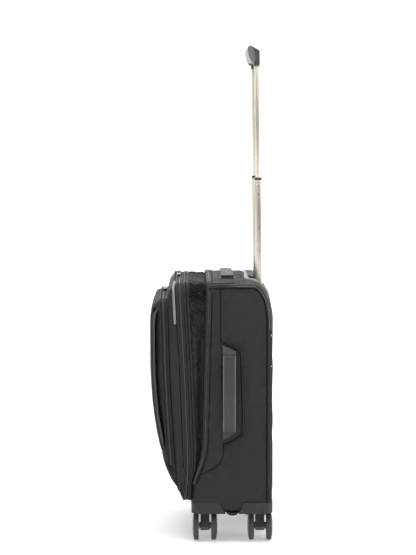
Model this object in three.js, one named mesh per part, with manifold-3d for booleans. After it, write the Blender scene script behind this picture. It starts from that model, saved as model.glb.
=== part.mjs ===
// A softside upright suitcase, carry-on size, with its telescopic handle drawn out and its expansion
// gusset unzipped. Millimetres, +Z up. The lid and its pocket face -Y, the telescopic handle is at +Y,
// and the side carry handle is on +X. The floor is Z = 0, and the origin is under the bag's middle.
import * as THREE from "three";
import { mergeVertices } from "three/addons/utils/BufferGeometryUtils.js";
import Module from "manifold-3d";

const wasm = await Module();
wasm.setup();

// ---------------------------------------------------------------- driving dimensions
const GAP = 0.3; // air between two pieces that touch
const WALL = 4; // padded fabric wall of the case

const HALF_WIDTH = 172; // case, to the face of a side panel
const CASE_TOP = 549;
const CASE_LOW = 64;
const BACK_Y = 127;
const MOUTH_Y = -11; // front edge of the side panels at the top, where the expansion gusset starts
const MOUTH_LOW_Y = -20; // and low down, at MOUTH_BEND
const MOUTH_BEND = 210;
const SILL_Y = -42; // front face of the low sill that closes the case under the mouth
const SILL_TOP = 125;
const FRONT_VIEW_RADIUS = 28;
const PLAN_RADIUS = 16;
const FLOOR_IN = 90; // inside floor
const SEAM_X = 164; // the side panels are sewn to the top, back and base here

const LID_HALF_WIDTH = 170;
const LID_TOP = 547.5;
const LID_LOW = 92;
const POCKET_HALF_WIDTH = 163;
const POCKET_TOP = 513.5;

const TUBE_X = 82.5; // half the spacing of the two telescopic tubes
const TUBE_Y = 102.6; // tube centre where it leaves the bag
const TUBE_Z = 540;
const TUBE_LEAN = THREE.MathUtils.degToRad(0.83); // the drawn-out handle leans towards the lid
const CUP_FLOOR = 494;

const CASTER_X = 118;
const CASTER_FRONT_Y = -14;
const CASTER_REAR_Y = 102.5;
const CASTER_TRAIL = 15;
const WHEEL_RADIUS = 30;
const HOUSING_TOP = 86;
const STEM_RADIUS = 5;
const AXLE_RADIUS = 3;
const AXLE_HALF = 22;

const TOP_HANDLE_Y = 34;
const SIDE_HANDLE_Y = 36.5;
const SIDE_HANDLE_Z = 318;

// ---------------------------------------------------------------- from three.js to solids and back
function solidOf(geometry) {
  const g = geometry.index ? geometry.toNonIndexed() : geometry.clone();
  const bare = new THREE.BufferGeometry().setAttribute("position", g.getAttribute("position"));
  const merged = mergeVertices(bare, 1e-4);
  return new wasm.Manifold(
    new wasm.Mesh({
      numProp: 3,
      vertProperties: merged.attributes.position.array,
      triVerts: new Uint32Array(merged.index.array),
    }),
  );
}

function geometryOf(solid) {
  const m = solid.getMesh();
  const positions = new Float32Array(m.numVert * 3);
  for (let i = 0; i < m.numVert; i++) {
    positions.set(m.vertProperties.subarray(i * m.numProp, i * m.numProp + 3), i * 3);
  }
  return new THREE.BufferGeometry()
    .setAttribute("position", new THREE.BufferAttribute(positions, 3))
    .setIndex(new THREE.BufferAttribute(new Uint32Array(m.triVerts), 1));
}

// ---------------------------------------------------------------- extrusions along the three axes
const ALONG_X = new THREE.Matrix4().makeBasis(
  new THREE.Vector3(0, 1, 0),
  new THREE.Vector3(0, 0, 1),
  new THREE.Vector3(1, 0, 0),
);
const ALONG_Y = new THREE.Matrix4().makeBasis(
  new THREE.Vector3(1, 0, 0),
  new THREE.Vector3(0, 0, 1),
  new THREE.Vector3(0, -1, 0),
);

function extrude(shape, depth, curveSegments) {
  return new THREE.ExtrudeGeometry(shape, { depth, bevelEnabled: false, curveSegments });
}

// A (Y, Z) outline from x0 to x1.
function alongX(shape, x0, x1, segments = 6) {
  return solidOf(extrude(shape, x1 - x0, segments).applyMatrix4(ALONG_X).translate(x0, 0, 0));
}

// An (X, Z) outline from y0 to y1.
function alongY(shape, y0, y1, segments = 6) {
  return solidOf(extrude(shape, y1 - y0, segments).applyMatrix4(ALONG_Y).translate(0, y1, 0));
}

// An (X, Y) outline from z0 to z1.
function alongZ(shape, z0, z1, segments = 6) {
  return solidOf(extrude(shape, z1 - z0, segments).translate(0, 0, z0));
}

function polygon(points) {
  return new THREE.Shape(points.map(([a, b]) => new THREE.Vector2(a, b)));
}

function roundedRectangle(a0, a1, b0, b1, r) {
  const s = new THREE.Shape();
  s.moveTo(a0 + r, b0);
  s.lineTo(a1 - r, b0);
  s.absarc(a1 - r, b0 + r, r, -Math.PI / 2, 0);
  s.absarc(a1 - r, b1 - r, r, 0, Math.PI / 2);
  s.absarc(a0 + r, b1 - r, r, Math.PI / 2, Math.PI);
  s.absarc(a0 + r, b0 + r, r, Math.PI, 1.5 * Math.PI);
  return s;
}

function box(x0, x1, y0, y1, z0, z1) {
  return alongZ(polygon([[x0, y0], [x1, y0], [x1, y1], [x0, y1]]), z0, z1);
}

// A tube's section in plan, w wide and d deep, centred on (x, 0).
function tubeSection(x, w, d, r) {
  return roundedRectangle(x - w / 2, x + w / 2, -d / 2, d / 2, r);
}

function cylinderZ(x, y, r, z0, z1, segments = 24) {
  const g = new THREE.CylinderGeometry(r, r, z1 - z0, segments).rotateX(Math.PI / 2);
  return solidOf(g.translate(x, y, (z0 + z1) / 2));
}

function cylinderY(x, z, r, y0, y1, segments = 20) {
  const g = new THREE.CylinderGeometry(r, r, y1 - y0, segments);
  return solidOf(g.translate(x, (y0 + y1) / 2, z));
}

// ---------------------------------------------------------------- materials
function finish(color, roughness, metalness = 0) {
  return new THREE.MeshStandardMaterial({ color, roughness, metalness });
}

const SHELL_FABRIC = finish(0x353434, 0.85);
const GUSSET_FABRIC = finish(0x2b2b2b, 0.9);
const LINING = finish(0x8d8f92, 0.9);
const TRIM_GREY = finish(0x5c5d5d, 0.5);
const MOULDED_BLACK = finish(0x3b3d3c, 0.5);
const WHEEL_GREY = finish(0x51534e, 0.55);
const TUBE_METAL = finish(0xcfc3b4, 0.3, 0.9);
const ZIP_METAL = finish(0x8f857a, 0.35, 0.9);
const STEEL = finish(0x9a9a9a, 0.35, 1);

const suitcase = new THREE.Group();

function add(name, solid, material, parent = suitcase) {
  const mesh = new THREE.Mesh(geometryOf(solid), material);
  mesh.name = name;
  parent.add(mesh);
  return mesh;
}

// ---------------------------------------------------------------- the case's own shape
// Side view of the case, in (Y, Z). The front edge is upright, then runs forward to the sill. The
// top rear corner is an upright quarter ellipse.
function caseOutline(inset) {
  const back = BACK_Y - inset;
  const top = CASE_TOP - inset;
  const low = CASE_LOW + inset;
  const sill = SILL_Y + inset;
  const lowRadius = 10;
  const cornerDepth = 42;
  const cornerHeight = 80;
  const s = new THREE.Shape();
  s.moveTo(MOUTH_Y, top);
  s.lineTo(MOUTH_LOW_Y, MOUTH_BEND);
  s.bezierCurveTo(MOUTH_LOW_Y - 0.8, 182, sill + 9, 156, sill, SILL_TOP);
  s.lineTo(sill, low + lowRadius);
  s.quadraticCurveTo(sill, low, sill + lowRadius, low);
  s.lineTo(back - lowRadius, low);
  s.quadraticCurveTo(back, low, back, low + lowRadius);
  s.lineTo(back, top - cornerHeight);
  s.absellipse(back - cornerDepth, top - cornerHeight, cornerDepth, cornerHeight, 0, Math.PI / 2);
  return s;
}

// The case's outside, moved inwards by inset; a negative inset moves it outwards.
function caseEnvelope(inset) {
  const w = HALF_WIDTH - inset;
  const front = roundedRectangle(-w, w, CASE_LOW + inset, CASE_TOP - inset, FRONT_VIEW_RADIUS - inset);
  const plan = roundedRectangle(-w, w, -140, BACK_Y - inset, PLAN_RADIUS - inset);
  return alongX(caseOutline(inset), -w, w, 8)
    .intersect(alongY(front, -60, 140, 5))
    .intersect(alongZ(plan, 0, 600, 4));
}

// The main compartment: everything inside the walls, and out through the mouth.
function compartment() {
  const w = HALF_WIDTH - WALL;
  const side = new THREE.Shape();
  side.moveTo(-80, CASE_TOP - WALL);
  side.lineTo(-80, SILL_TOP + 2);
  side.lineTo(SILL_Y + WALL, SILL_TOP + 2);
  side.lineTo(SILL_Y + WALL, FLOOR_IN);
  side.lineTo(BACK_Y - WALL, FLOOR_IN);
  side.lineTo(BACK_Y - WALL, CASE_TOP - 84);
  side.absellipse(BACK_Y - 42, CASE_TOP - 84, 38, 80, 0, Math.PI / 2);
  const front = roundedRectangle(-w, w, FLOOR_IN, CASE_TOP - WALL, FRONT_VIEW_RADIUS - WALL);
  const plan = roundedRectangle(-w, w, -140, BACK_Y - WALL, PLAN_RADIUS - WALL);
  return alongX(side, -w, w, 8)
    .intersect(alongY(front, -90, 140, 5))
    .intersect(alongZ(plan, 0, 600, 4));
}

// ---------------------------------------------------------------- wheel housings
// side is +1 or -1 in X, end is "front" or "rear". grow makes the cutter for the pieces around it.
const TONGUE = { frontTop: 15, frontLow: 28.5, rearLow: 56.5, rearTop: 68 };
const HOUSING_IN_X = 72;

function housingBlock(side, end, grow) {
  const low = CASE_LOW - 1 - grow;
  const top = HOUSING_TOP + grow;
  const front = [
    [SILL_Y - 1.5 - grow, top],
    [SILL_Y - 0.5 - grow, low],
    [TONGUE.frontLow + grow, low],
    [TONGUE.frontTop + grow, top],
  ];
  const rear = [
    [TONGUE.rearTop - grow, top],
    [TONGUE.rearLow - grow, low],
    [BACK_Y + 1 + grow, low],
    [BACK_Y + 1.5 + grow, top],
  ];
  const outline = end === "front" ? front : rear;
  const xIn = HOUSING_IN_X - grow;
  const xOut = HALF_WIDTH + 2 + grow;
  const block = alongX(polygon(outline), side > 0 ? xIn : -xOut, side > 0 ? xOut : -xIn);
  const plan = roundedRectangle(-xOut, xOut, SILL_Y - 1.5 - grow, BACK_Y + 1.5 + grow, 22);
  return block.intersect(alongZ(plan, 0, 200, 5));
}

function casterY(end) {
  return end === "front" ? CASTER_FRONT_Y : CASTER_REAR_Y;
}

// A moulded shell, open on top, with a boss that holds the caster's stem.
function wheelHousing(side, end) {
  const wall = 3;
  const x = side * CASTER_X;
  const y = casterY(end);
  const block = housingBlock(side, end, 0);
  const y0 = end === "front" ? SILL_Y + wall : TONGUE.rearTop + wall;
  const y1 = end === "front" ? TONGUE.frontTop - wall : BACK_Y - wall;
  const xs = [side * (HOUSING_IN_X + wall), side * (HALF_WIDTH - wall)].sort((a, b) => a - b);
  const hollow = alongZ(roundedRectangle(xs[0], xs[1], y0, y1, 12), CASE_LOW + wall, HOUSING_TOP + 5, 4);
  return block
    .subtract(hollow)
    .add(cylinderZ(x, y, 13, CASE_LOW + 1, HOUSING_TOP))
    .subtract(cylinderZ(x, y, STEM_RADIUS + GAP, CASE_LOW - 5, HOUSING_TOP - 4));
}

const CORNERS = [
  { side: 1, end: "front", label: "front_right" },
  { side: -1, end: "front", label: "front_left" },
  { side: 1, end: "rear", label: "rear_right" },
  { side: -1, end: "rear", label: "rear_left" },
];

// ---------------------------------------------------------------- trolley cup, sunk in the top rear edge
const CUP = { y0: 79, y1: 117, half: 112, wall: 2.5 };
const BEZEL = { y0: 71, y1: 120.5, half: 121 };

function stadium(half, y0, y1) {
  return roundedRectangle(-half, half, y0, y1, (y1 - y0) / 2 - 0.01);
}

const cupHole = alongZ(stadium(CUP.half + GAP, CUP.y0 - GAP, CUP.y1 + GAP), CUP_FLOOR - 4, 600, 8);

// Local frame of the telescopic handle: Z runs along the tubes, and Z = 0 is where they leave the bag.
const trolley = new THREE.Group();
trolley.position.set(0, TUBE_Y, TUBE_Z);
trolley.rotation.x = TUBE_LEAN;
suitcase.add(trolley);

// A solid made in the trolley's frame, turned into the part's frame.
function inTrolley(solid) {
  return solid.rotate([THREE.MathUtils.radToDeg(TUBE_LEAN), 0, 0]).translate([0, TUBE_Y, TUBE_Z]);
}

const GUIDE = { w: 27, d: 20, r: 6, wall: 2, z0: -441.5, z1: -47.5 };
const MIDDLE = { w: 22, d: 15, r: 4.5, wall: 1.5, z0: -100, z1: 221 };
const INNER = { w: 18, d: 11, r: 3.6, wall: 1.2, z0: 120, z1: 461 };
const COLLAR = { w: 22.8, d: 15.8, r: 4.5, wall: 2.1, z0: 221.3, z1: 226 };

function trolleyCup() {
  const outer = alongZ(stadium(CUP.half, CUP.y0, CUP.y1), CUP_FLOOR, 600, 8).intersect(caseEnvelope(-0.5));
  const w = CUP.wall;
  const inner = alongZ(stadium(CUP.half - w, CUP.y0 + w, CUP.y1 - w), CUP_FLOOR + w, 600, 8);
  const bezel = alongZ(stadium(BEZEL.half, BEZEL.y0, BEZEL.y1), 500, 600, 8)
    .intersect(caseEnvelope(-3))
    .subtract(caseEnvelope(-GAP));
  let cup = outer.add(bezel).subtract(inner);
  for (const x of [-TUBE_X, TUBE_X]) {
    const hole = alongZ(tubeSection(x, MIDDLE.w + 1.2, MIDDLE.d + 1.2, MIDDLE.r), -60, 0, 4);
    cup = cup.subtract(inTrolley(hole));
  }
  return cup;
}

// ---------------------------------------------------------------- case panels
const LOOSE_TAB = { slotW: 4.4, slotL: 21 };
const TOP_TAB_X = 88;
const SIDE_TAB_Z = 68;

function casePanels() {
  let shell = caseEnvelope(0).subtract(compartment()).subtract(cupHole);
  for (const c of CORNERS) shell = shell.subtract(housingBlock(c.side, c.end, GAP));
  // Slots for the tabs of the two carry handles.
  for (const s of [-1, 1]) {
    const x = s * TOP_TAB_X;
    shell = shell.subtract(
      box(x - LOOSE_TAB.slotW / 2, x + LOOSE_TAB.slotW / 2, TOP_HANDLE_Y - LOOSE_TAB.slotL / 2,
        TOP_HANDLE_Y + LOOSE_TAB.slotL / 2, CASE_TOP - 20, CASE_TOP + 5),
    );
    const z = SIDE_HANDLE_Z + s * SIDE_TAB_Z;
    shell = shell.subtract(
      box(HALF_WIDTH - 20, HALF_WIDTH + 5, SIDE_HANDLE_Y - LOOSE_TAB.slotL / 2,
        SIDE_HANDLE_Y + LOOSE_TAB.slotL / 2, z - LOOSE_TAB.slotW / 2, z + LOOSE_TAB.slotW / 2),
    );
  }
  const far = 300;
  const between = box(-SEAM_X + GAP, SEAM_X - GAP, -200, 200, 0, 700);
  const middle = shell.intersect(between);
  const baseZone = alongX(
    polygon([[-100, 0], [far, 0], [far, FLOOR_IN], [-36, FLOOR_IN], [-36, 140], [-100, 140]]), -far, far);
  const topZone = box(-far, far, -100, 76, 500, 700);
  const backZone = box(-far, far, 76 + GAP, 200, FLOOR_IN + GAP, 700);
  const well = box(-60, 60, -32, 112, CASE_LOW + 4, FLOOR_IN + 5);
  add("side_panel_right", shell.intersect(box(SEAM_X, far, -200, 200, 0, 700)), SHELL_FABRIC);
  add("side_panel_left", shell.intersect(box(-far, -SEAM_X, -200, 200, 0, 700)), SHELL_FABRIC);
  add("top_panel", middle.intersect(topZone), SHELL_FABRIC);
  add("back_panel", middle.intersect(backZone), SHELL_FABRIC);
  add("base_panel", middle.intersect(baseZone).subtract(well), SHELL_FABRIC);
}
casePanels();

// The raised ridge that the expansion zip is sewn under, round the sides and top of the mouth.
function mouthRim() {
  const width = 11;
  const s = new THREE.Shape();
  s.moveTo(MOUTH_Y + 1.35, 600);
  s.lineTo(MOUTH_LOW_Y, MOUTH_BEND);
  s.bezierCurveTo(MOUTH_LOW_Y - 0.8, 182, SILL_Y + 9, 156, SILL_Y, SILL_TOP);
  s.lineTo(SILL_Y + 5, SILL_TOP - 4);
  s.bezierCurveTo(SILL_Y + 9 + width, 150, MOUTH_LOW_Y - 0.8 + width, 180, MOUTH_LOW_Y + width, MOUTH_BEND);
  s.lineTo(MOUTH_Y + 1.35 + width, 600);
  return alongX(s, -200, 200, 8).intersect(caseEnvelope(-3)).subtract(caseEnvelope(-GAP));
}
add("mouth_rim", mouthRim(), SHELL_FABRIC);

// Moulded guards over the seams, along the top rear corners of the side panels.
function cornerGuard(side) {
  const xs = [side * 158, side * 170.5].sort((a, b) => a - b);
  return caseEnvelope(-3)
    .subtract(caseEnvelope(-GAP))
    .intersect(box(xs[0], xs[1], 38, 200, 448, 700));
}
add("corner_guard_right", cornerGuard(1), TRIM_GREY);
add("corner_guard_left", cornerGuard(-1), TRIM_GREY);

for (const c of CORNERS) add("wheel_housing_" + c.label, wheelHousing(c.side, c.end), MOULDED_BLACK);

add("trolley_cup", trolleyCup(), TRIM_GREY);

// ---------------------------------------------------------------- telescopic handle, in its own frame
function tube(x, t) {
  const bore = tubeSection(x, t.w - 2 * t.wall, t.d - 2 * t.wall, t.r - t.wall);
  return alongZ(tubeSection(x, t.w, t.d, t.r), t.z0, t.z1, 3).subtract(alongZ(bore, t.z0 - 1, t.z1 + 1, 3));
}

const TUBES = [[-TUBE_X, "left"], [TUBE_X, "right"]];
for (const [x, label] of TUBES) {
  add("guide_tube_" + label, tube(x, GUIDE), STEEL, trolley);
  add("middle_tube_" + label, tube(x, MIDDLE), TUBE_METAL, trolley);
  add("inner_tube_" + label, tube(x, INNER), TUBE_METAL, trolley);
  add("tube_collar_" + label, tube(x, COLLAR), MOULDED_BLACK, trolley);
}

// A bar joins the feet of the two guide tubes on the bag's floor.
function trolleyFoot() {
  const low = FLOOR_IN - TUBE_Z + 4;
  let bar = alongZ(roundedRectangle(-104, 104, -13, 12, 4), low, low + 14, 4);
  for (const [x] of TUBES) {
    const socket = tubeSection(x, GUIDE.w + 2 * GAP, GUIDE.d + 2 * GAP, GUIDE.r);
    bar = bar.subtract(alongZ(socket, low + 4, low + 30, 4));
  }
  return bar;
}
add("trolley_foot", trolleyFoot(), MOULDED_BLACK, trolley);

// The grip: a slanted bar that leans over the lid side, on two short legs that take the inner tubes.
const GRIP = { half: 98, low: 462 };
function gripOutline() {
  const s = new THREE.Shape();
  s.moveTo(6.5, GRIP.low + 6);
  s.lineTo(6.5, GRIP.low + 31);
  s.quadraticCurveTo(5.5, GRIP.low + 33.5, 2, GRIP.low + 35.5);
  s.lineTo(-11, GRIP.low + 43);
  s.quadraticCurveTo(-17.5, GRIP.low + 45, -19, GRIP.low + 38);
  s.lineTo(-17, GRIP.low + 22);
  s.quadraticCurveTo(-15, GRIP.low + 13, -8, GRIP.low + 11);
  s.quadraticCurveTo(0, GRIP.low + 9, 6.5, GRIP.low + 6);
  return s;
}
const BUTTON = { half: 21, travel: 3 };
const buttonFrame = new THREE.Group(); // Z points out of the grip's sloping top
buttonFrame.position.set(0, -4.5, GRIP.low + 39.3);
buttonFrame.rotation.x = -THREE.MathUtils.degToRad(30);
function inButtonFrame(solid) {
  return solid.rotate([-30, 0, 0]).translate([0, -4.5, GRIP.low + 39.3]);
}
function grip() {
  const plan = roundedRectangle(-GRIP.half, GRIP.half, -30, 20, 12);
  const legs = TUBES.map(([x]) => alongZ(tubeSection(x, 24, 13, 4.5), GRIP.low, GRIP.low + 30, 4));
  let solid = alongX(gripOutline(), -GRIP.half, GRIP.half, 5).intersect(alongZ(plan, 400, 600, 5));
  for (const leg of legs) solid = solid.add(leg);
  const slot = alongZ(roundedRectangle(-BUTTON.half - 0.4, BUTTON.half + 0.4, -6.4, 6.4, 5), -8, 10, 5);
  return solid.subtract(inButtonFrame(slot));
}
add("grip", grip(), MOULDED_BLACK, trolley);
trolley.add(buttonFrame);
add(
  "release_button",
  alongZ(roundedRectangle(-BUTTON.half, BUTTON.half, -6, 6, 4.8), -8 + BUTTON.travel + 0.8, 1.6, 5),
  TRIM_GREY,
  buttonFrame,
);

// ---------------------------------------------------------------- lining, seen when the lid is open
const liningOutline = roundedRectangle(-160, 160, FLOOR_IN + 0.5, CUP_FLOOR - 6, 14);
add("back_lining", alongY(liningOutline, 88.5, 90.5, 4), LINING);

// ---------------------------------------------------------------- carry handles
// Each is a padded strap with a flat tab at each end; the tabs slide through a bracket and the panel.
const STRAP = { half: 96, width: 28, thick: 6.5, lift: 6, tab: 26, tabHalf: 9.5 };

// Made lying along X, with Z = 0 on the panel's face.
function carryStrap(half, tabX) {
  const profile = new THREE.Shape();
  profile.moveTo(-half, STRAP.lift);
  profile.lineTo(half, STRAP.lift);
  profile.quadraticCurveTo(half + 1, STRAP.lift + 3.5, half - 8, STRAP.lift + 4.5);
  profile.quadraticCurveTo(0, STRAP.lift + STRAP.thick * 1.2, -half + 8, STRAP.lift + 4.5);
  profile.quadraticCurveTo(-half - 1, STRAP.lift + 3.5, -half, STRAP.lift);
  let solid = alongY(profile, -STRAP.width / 2, STRAP.width / 2, 6);
  for (const s of [-1, 1]) {
    const low = STRAP.lift - STRAP.tab;
    solid = solid.add(box(s * tabX - 1.7, s * tabX + 1.7, -STRAP.tabHalf, STRAP.tabHalf, low, STRAP.lift + 1));
  }
  return solid;
}

// A moulded bracket under one end of a strap, centred on its slot. The outline is in plan.
function strapBracket(outline, x) {
  const w = LOOSE_TAB.slotW / 2;
  const l = LOOSE_TAB.slotL / 2;
  const slot = box(x - w, x + w, -l, l, -5, 20);
  return alongZ(outline, GAP, STRAP.lift - 1, 5).subtract(slot);
}

const topHandle = new THREE.Group();
topHandle.position.set(0, TOP_HANDLE_Y, CASE_TOP);
suitcase.add(topHandle);
add("top_handle_strap", carryStrap(STRAP.half, TOP_TAB_X), TRIM_GREY, topHandle);
for (const [s, label] of [[-1, "left"], [1, "right"]]) {
  const xs = [s * 79, s * 106].sort((a, b) => a - b);
  add("top_handle_bracket_" + label,
    strapBracket(roundedRectangle(xs[0], xs[1], -17, 17, 6), s * TOP_TAB_X), MOULDED_BLACK, topHandle);
}

// On the side panel the strap's X runs up the bag and its Z points out of the panel.
const sideHandle = new THREE.Group();
sideHandle.position.set(HALF_WIDTH, SIDE_HANDLE_Y, SIDE_HANDLE_Z);
sideHandle.rotation.y = Math.PI / 2;
suitcase.add(sideHandle);
const SIDE_STRAP_HALF = 80;
add("side_handle_strap", carryStrap(SIDE_STRAP_HALF, SIDE_TAB_Z), TRIM_GREY, sideHandle);
// In this frame -X is up. The upper bracket ends in a slant, and the lower one in the opposite slant.
add(
  "side_handle_bracket_upper",
  strapBracket(polygon([[-101, -14], [-88, 14], [-58, 14], [-58, -14]]), -SIDE_TAB_Z),
  TRIM_GREY, sideHandle,
);
add(
  "side_handle_bracket_lower",
  strapBracket(polygon([[58, -14], [58, 14], [84, 14], [98, -14]]), SIDE_TAB_Z),
  MOULDED_BLACK, sideHandle,
);

// ---------------------------------------------------------------- casters
// A caster in its own frame: the swivel axis is Z at the origin and the axle trails it in +X.
function forkSolid() {
  const arm = new THREE.Shape();
  arm.moveTo(-12.5, 56);
  arm.lineTo(-9, 44);
  arm.lineTo(CASTER_TRAIL - 10, WHEEL_RADIUS - 4);
  arm.absarc(CASTER_TRAIL, WHEEL_RADIUS, 10.5, -Math.PI + 0.4, -0.2, false);
  arm.lineTo(14, 56);
  return alongY(arm, -9.5, 9.5, 6)
    .add(cylinderZ(0, 0, 12.8, 54, 61.5))
    .add(cylinderZ(0, 0, STEM_RADIUS, 60, HOUSING_TOP - 5, 20))
    .add(cylinderY(CASTER_TRAIL, WHEEL_RADIUS, 7.2, -12.6, 12.6))
    .subtract(cylinderY(CASTER_TRAIL, WHEEL_RADIUS, AXLE_RADIUS + 0.25, -20, 20));
}

// A wheel about the Y axis: flat inner face at y = 13, tyre, domed hub cover outside. The bore is blind.
function wheelGeometry(side) {
  const bore = AXLE_RADIUS + 0.3;
  const inner = 13.2;
  const profile = [
    [0, AXLE_HALF + 0.6],
    [bore, AXLE_HALF + 0.6],
    [bore, inner],
    [WHEEL_RADIUS - 2, inner],
    [WHEEL_RADIUS, inner + 2],
    [WHEEL_RADIUS, inner + 8],
    [WHEEL_RADIUS - 3.5, inner + 10.6],
    [WHEEL_RADIUS - 14, inner + 12.6],
    [0, inner + 13.2],
  ].map(([r, y]) => new THREE.Vector2(r, y));
  const g = new THREE.LatheGeometry(profile, 24);
  if (side < 0) g.rotateZ(Math.PI);
  return g;
}

for (const c of CORNERS) {
  const caster = new THREE.Group();
  caster.position.set(c.side * CASTER_X, casterY(c.end), 0);
  suitcase.add(caster);
  add("caster_fork_" + c.label, forkSolid(), MOULDED_BLACK, caster);
  add("caster_axle_" + c.label,
    cylinderY(CASTER_TRAIL, WHEEL_RADIUS, AXLE_RADIUS, -AXLE_HALF, AXLE_HALF), STEEL, caster);
  for (const [side, hand] of [[-1, "a"], [1, "b"]]) {
    const wheel = new THREE.Mesh(wheelGeometry(side), WHEEL_GREY);
    wheel.name = "wheel_" + c.label + "_" + hand;
    wheel.position.set(CASTER_TRAIL, 0, WHEEL_RADIUS);
    caster.add(wheel);
  }
}

// ---------------------------------------------------------------- lid, front frame and gusset
// The main zip, in side view: it leans forwards towards the top and runs in again at the bottom.
const ZIP_LINE = [[-68, 556], [-64, 470], [-57, 345], [-52.3, 220], [-50.5, 157], [-55, 104], [-57, 86]];
const FRAME_BACK = [
  [-50, 556], [-46, 470], [-39, 345], [-34.5, 220],
  [-34, 172], [-38, 150], [-45.5, 128], [-45.5, 86],
];
const LID_FRONT = [[-93, 524], [-91, 470], [-87, 345], [-80, 220], [-75, 160], [-68, 118], [-60, 90]];
const POCKET_FRONT = [
  [-124.5, 500], [-128, 474], [-127.5, 400], [-126, 345],
  [-118, 261], [-101, 178], [-84, 134], [-73, 113],
];

function shift(points, dy) {
  return points.map(([y, z]) => new THREE.Vector2(y + dy, z));
}

// A smooth run through the points, added to a shape that already stands on its first point.
function runThrough(shape, points) {
  const [first, ...rest] = points;
  shape.lineTo(first.x, first.y);
  shape.splineThru(rest);
}

function lidRing(inset) {
  const w = LID_HALF_WIDTH - inset;
  return roundedRectangle(-w, w, LID_LOW + inset, LID_TOP - inset, FRONT_VIEW_RADIUS - inset);
}

// The region between two side-view lines, over the bag's whole width.
function between(front, back, segments = 3) {
  const s = new THREE.Shape();
  s.moveTo(front[0].x, front[0].y);
  s.splineThru(front.slice(1));
  runThrough(s, [...back].reverse());
  return alongX(s, -220, 220, segments);
}

function frontFrame() {
  const band = between(shift(ZIP_LINE, 0.5), shift(FRAME_BACK, 0));
  return band.intersect(alongY(lidRing(0), -150, 50, 6)).subtract(alongY(lidRing(6), -150, 50, 6));
}
add("front_frame", frontFrame(), SHELL_FABRIC);

// The lid: a shallow pan, open to the main compartment, with a sloping shoulder on top.
function lidSolid(inset, backShift) {
  const s = new THREE.Shape();
  const back = shift(ZIP_LINE, backShift);
  const front = shift(LID_FRONT, inset);
  s.moveTo(back[0].x, back[0].y);
  s.lineTo(-76 + inset, 556);
  s.quadraticCurveTo(-84 + inset, 546 - inset, front[0].x, front[0].y);
  s.splineThru(front.slice(1));
  s.lineTo(back[6].x, back[6].y);
  s.splineThru([...back].reverse().slice(1));
  return alongX(s, -LID_HALF_WIDTH - 10, LID_HALF_WIDTH + 10, 3).intersect(
    alongY(lidRing(inset), -150, 50, 6),
  );
}
add("lid_shell", lidSolid(0, 0).subtract(lidSolid(4.5, 30)), SHELL_FABRIC);

// The stuffed front pocket on the lid. Its front is scooped out behind the slip pocket's panel, and the
// scoop runs out at its right side.
const SCOOP = { x0: -146, z0: 205, z1: 490, depth: 12, panel: 5 };

function pocketBlock() {
  const s = new THREE.Shape();
  const front = shift(POCKET_FRONT, 0);
  s.moveTo(-40, POCKET_TOP);
  s.lineTo(-104, POCKET_TOP);
  s.quadraticCurveTo(-118, POCKET_TOP - 1, front[0].x, front[0].y);
  s.splineThru(front.slice(1));
  s.lineTo(-40, 113);
  const w = POCKET_HALF_WIDTH;
  return alongX(s, -w, w, 3)
    .intersect(alongZ(roundedRectangle(-w, w, -128.5, 60, 14), 0, 700, 5))
    .intersect(alongY(roundedRectangle(-w, w, 100, POCKET_TOP + 1, 26), -200, 60, 6))
    .subtract(lidSolid(-GAP, 60));
}

// Everything in front of the pocket's front face moved back by dy, inside the slip pocket's outline.
function aheadOfPocket(dy, grow) {
  const s = new THREE.Shape();
  const front = shift(POCKET_FRONT, dy);
  s.moveTo(-200, 600);
  s.lineTo(front[0].x, 600);
  s.lineTo(front[0].x, front[0].y);
  s.splineThru(front.slice(1));
  s.lineTo(-200, 100);
  const outline = roundedRectangle(SCOOP.x0 - grow, 240, SCOOP.z0 - grow, SCOOP.z1 + grow, 16);
  return alongX(s, -220, 220, 3).intersect(alongY(outline, -200, 0, 5));
}

// The panel's back is hollow, but for a hem 7 mm wide round the three sewn sides.
function slipPanel() {
  const front = pocketBlock().intersect(aheadOfPocket(SCOOP.panel, 7 - GAP));
  const hem = pocketBlock()
    .intersect(aheadOfPocket(SCOOP.panel + SCOOP.depth - GAP, 7 - GAP))
    .subtract(aheadOfPocket(SCOOP.panel + SCOOP.depth, 0));
  return front.add(hem);
}
add("front_pocket", pocketBlock().subtract(aheadOfPocket(SCOOP.panel + SCOOP.depth, 7)), SHELL_FABRIC);
add("slip_pocket_panel", slipPanel(), SHELL_FABRIC);

// The expansion gusset: a thin arch between the front frame and the mouth, set in from the outside.
function expansionGusset() {
  const s = new THREE.Shape();
  const front = shift(FRAME_BACK.slice(0, 5), 0.6);
  s.moveTo(MOUTH_Y - 0.5, 556);
  s.lineTo(front[0].x, front[0].y);
  s.splineThru(front.slice(1));
  s.lineTo(MOUTH_LOW_Y - 7.2, 172);
  s.lineTo(MOUTH_LOW_Y - 0.6, MOUTH_BEND);
  return alongX(s, -220, 220, 3)
    .intersect(alongY(roundedRectangle(-163, 163, 60, 541, 22), -150, 50, 6))
    .subtract(alongY(roundedRectangle(-160, 160, 50, 538, 19), -150, 50, 6));
}
add("expansion_gusset", expansionGusset(), GUSSET_FABRIC);

// ---------------------------------------------------------------- zip sliders and their pulls
const PULL = { length: 40, width: 8, thick: 1.8, lift: 5.6 };

// A slider lying on a zip that runs along X, with Z = 0 on the tape: a body and a bail for the pull.
function sliderSolid() {
  return alongZ(roundedRectangle(-6, 6, -4.5, 4.5, 2), 0.4, 3.6, 4)
    .add(box(-1.6, 1.6, -3.2, -1.8, 3, 7))
    .add(box(-1.6, 1.6, 1.8, 3.2, 3, 7))
    .add(cylinderY(0, PULL.lift, 0.8, -3, 3, 10));
}

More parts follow.
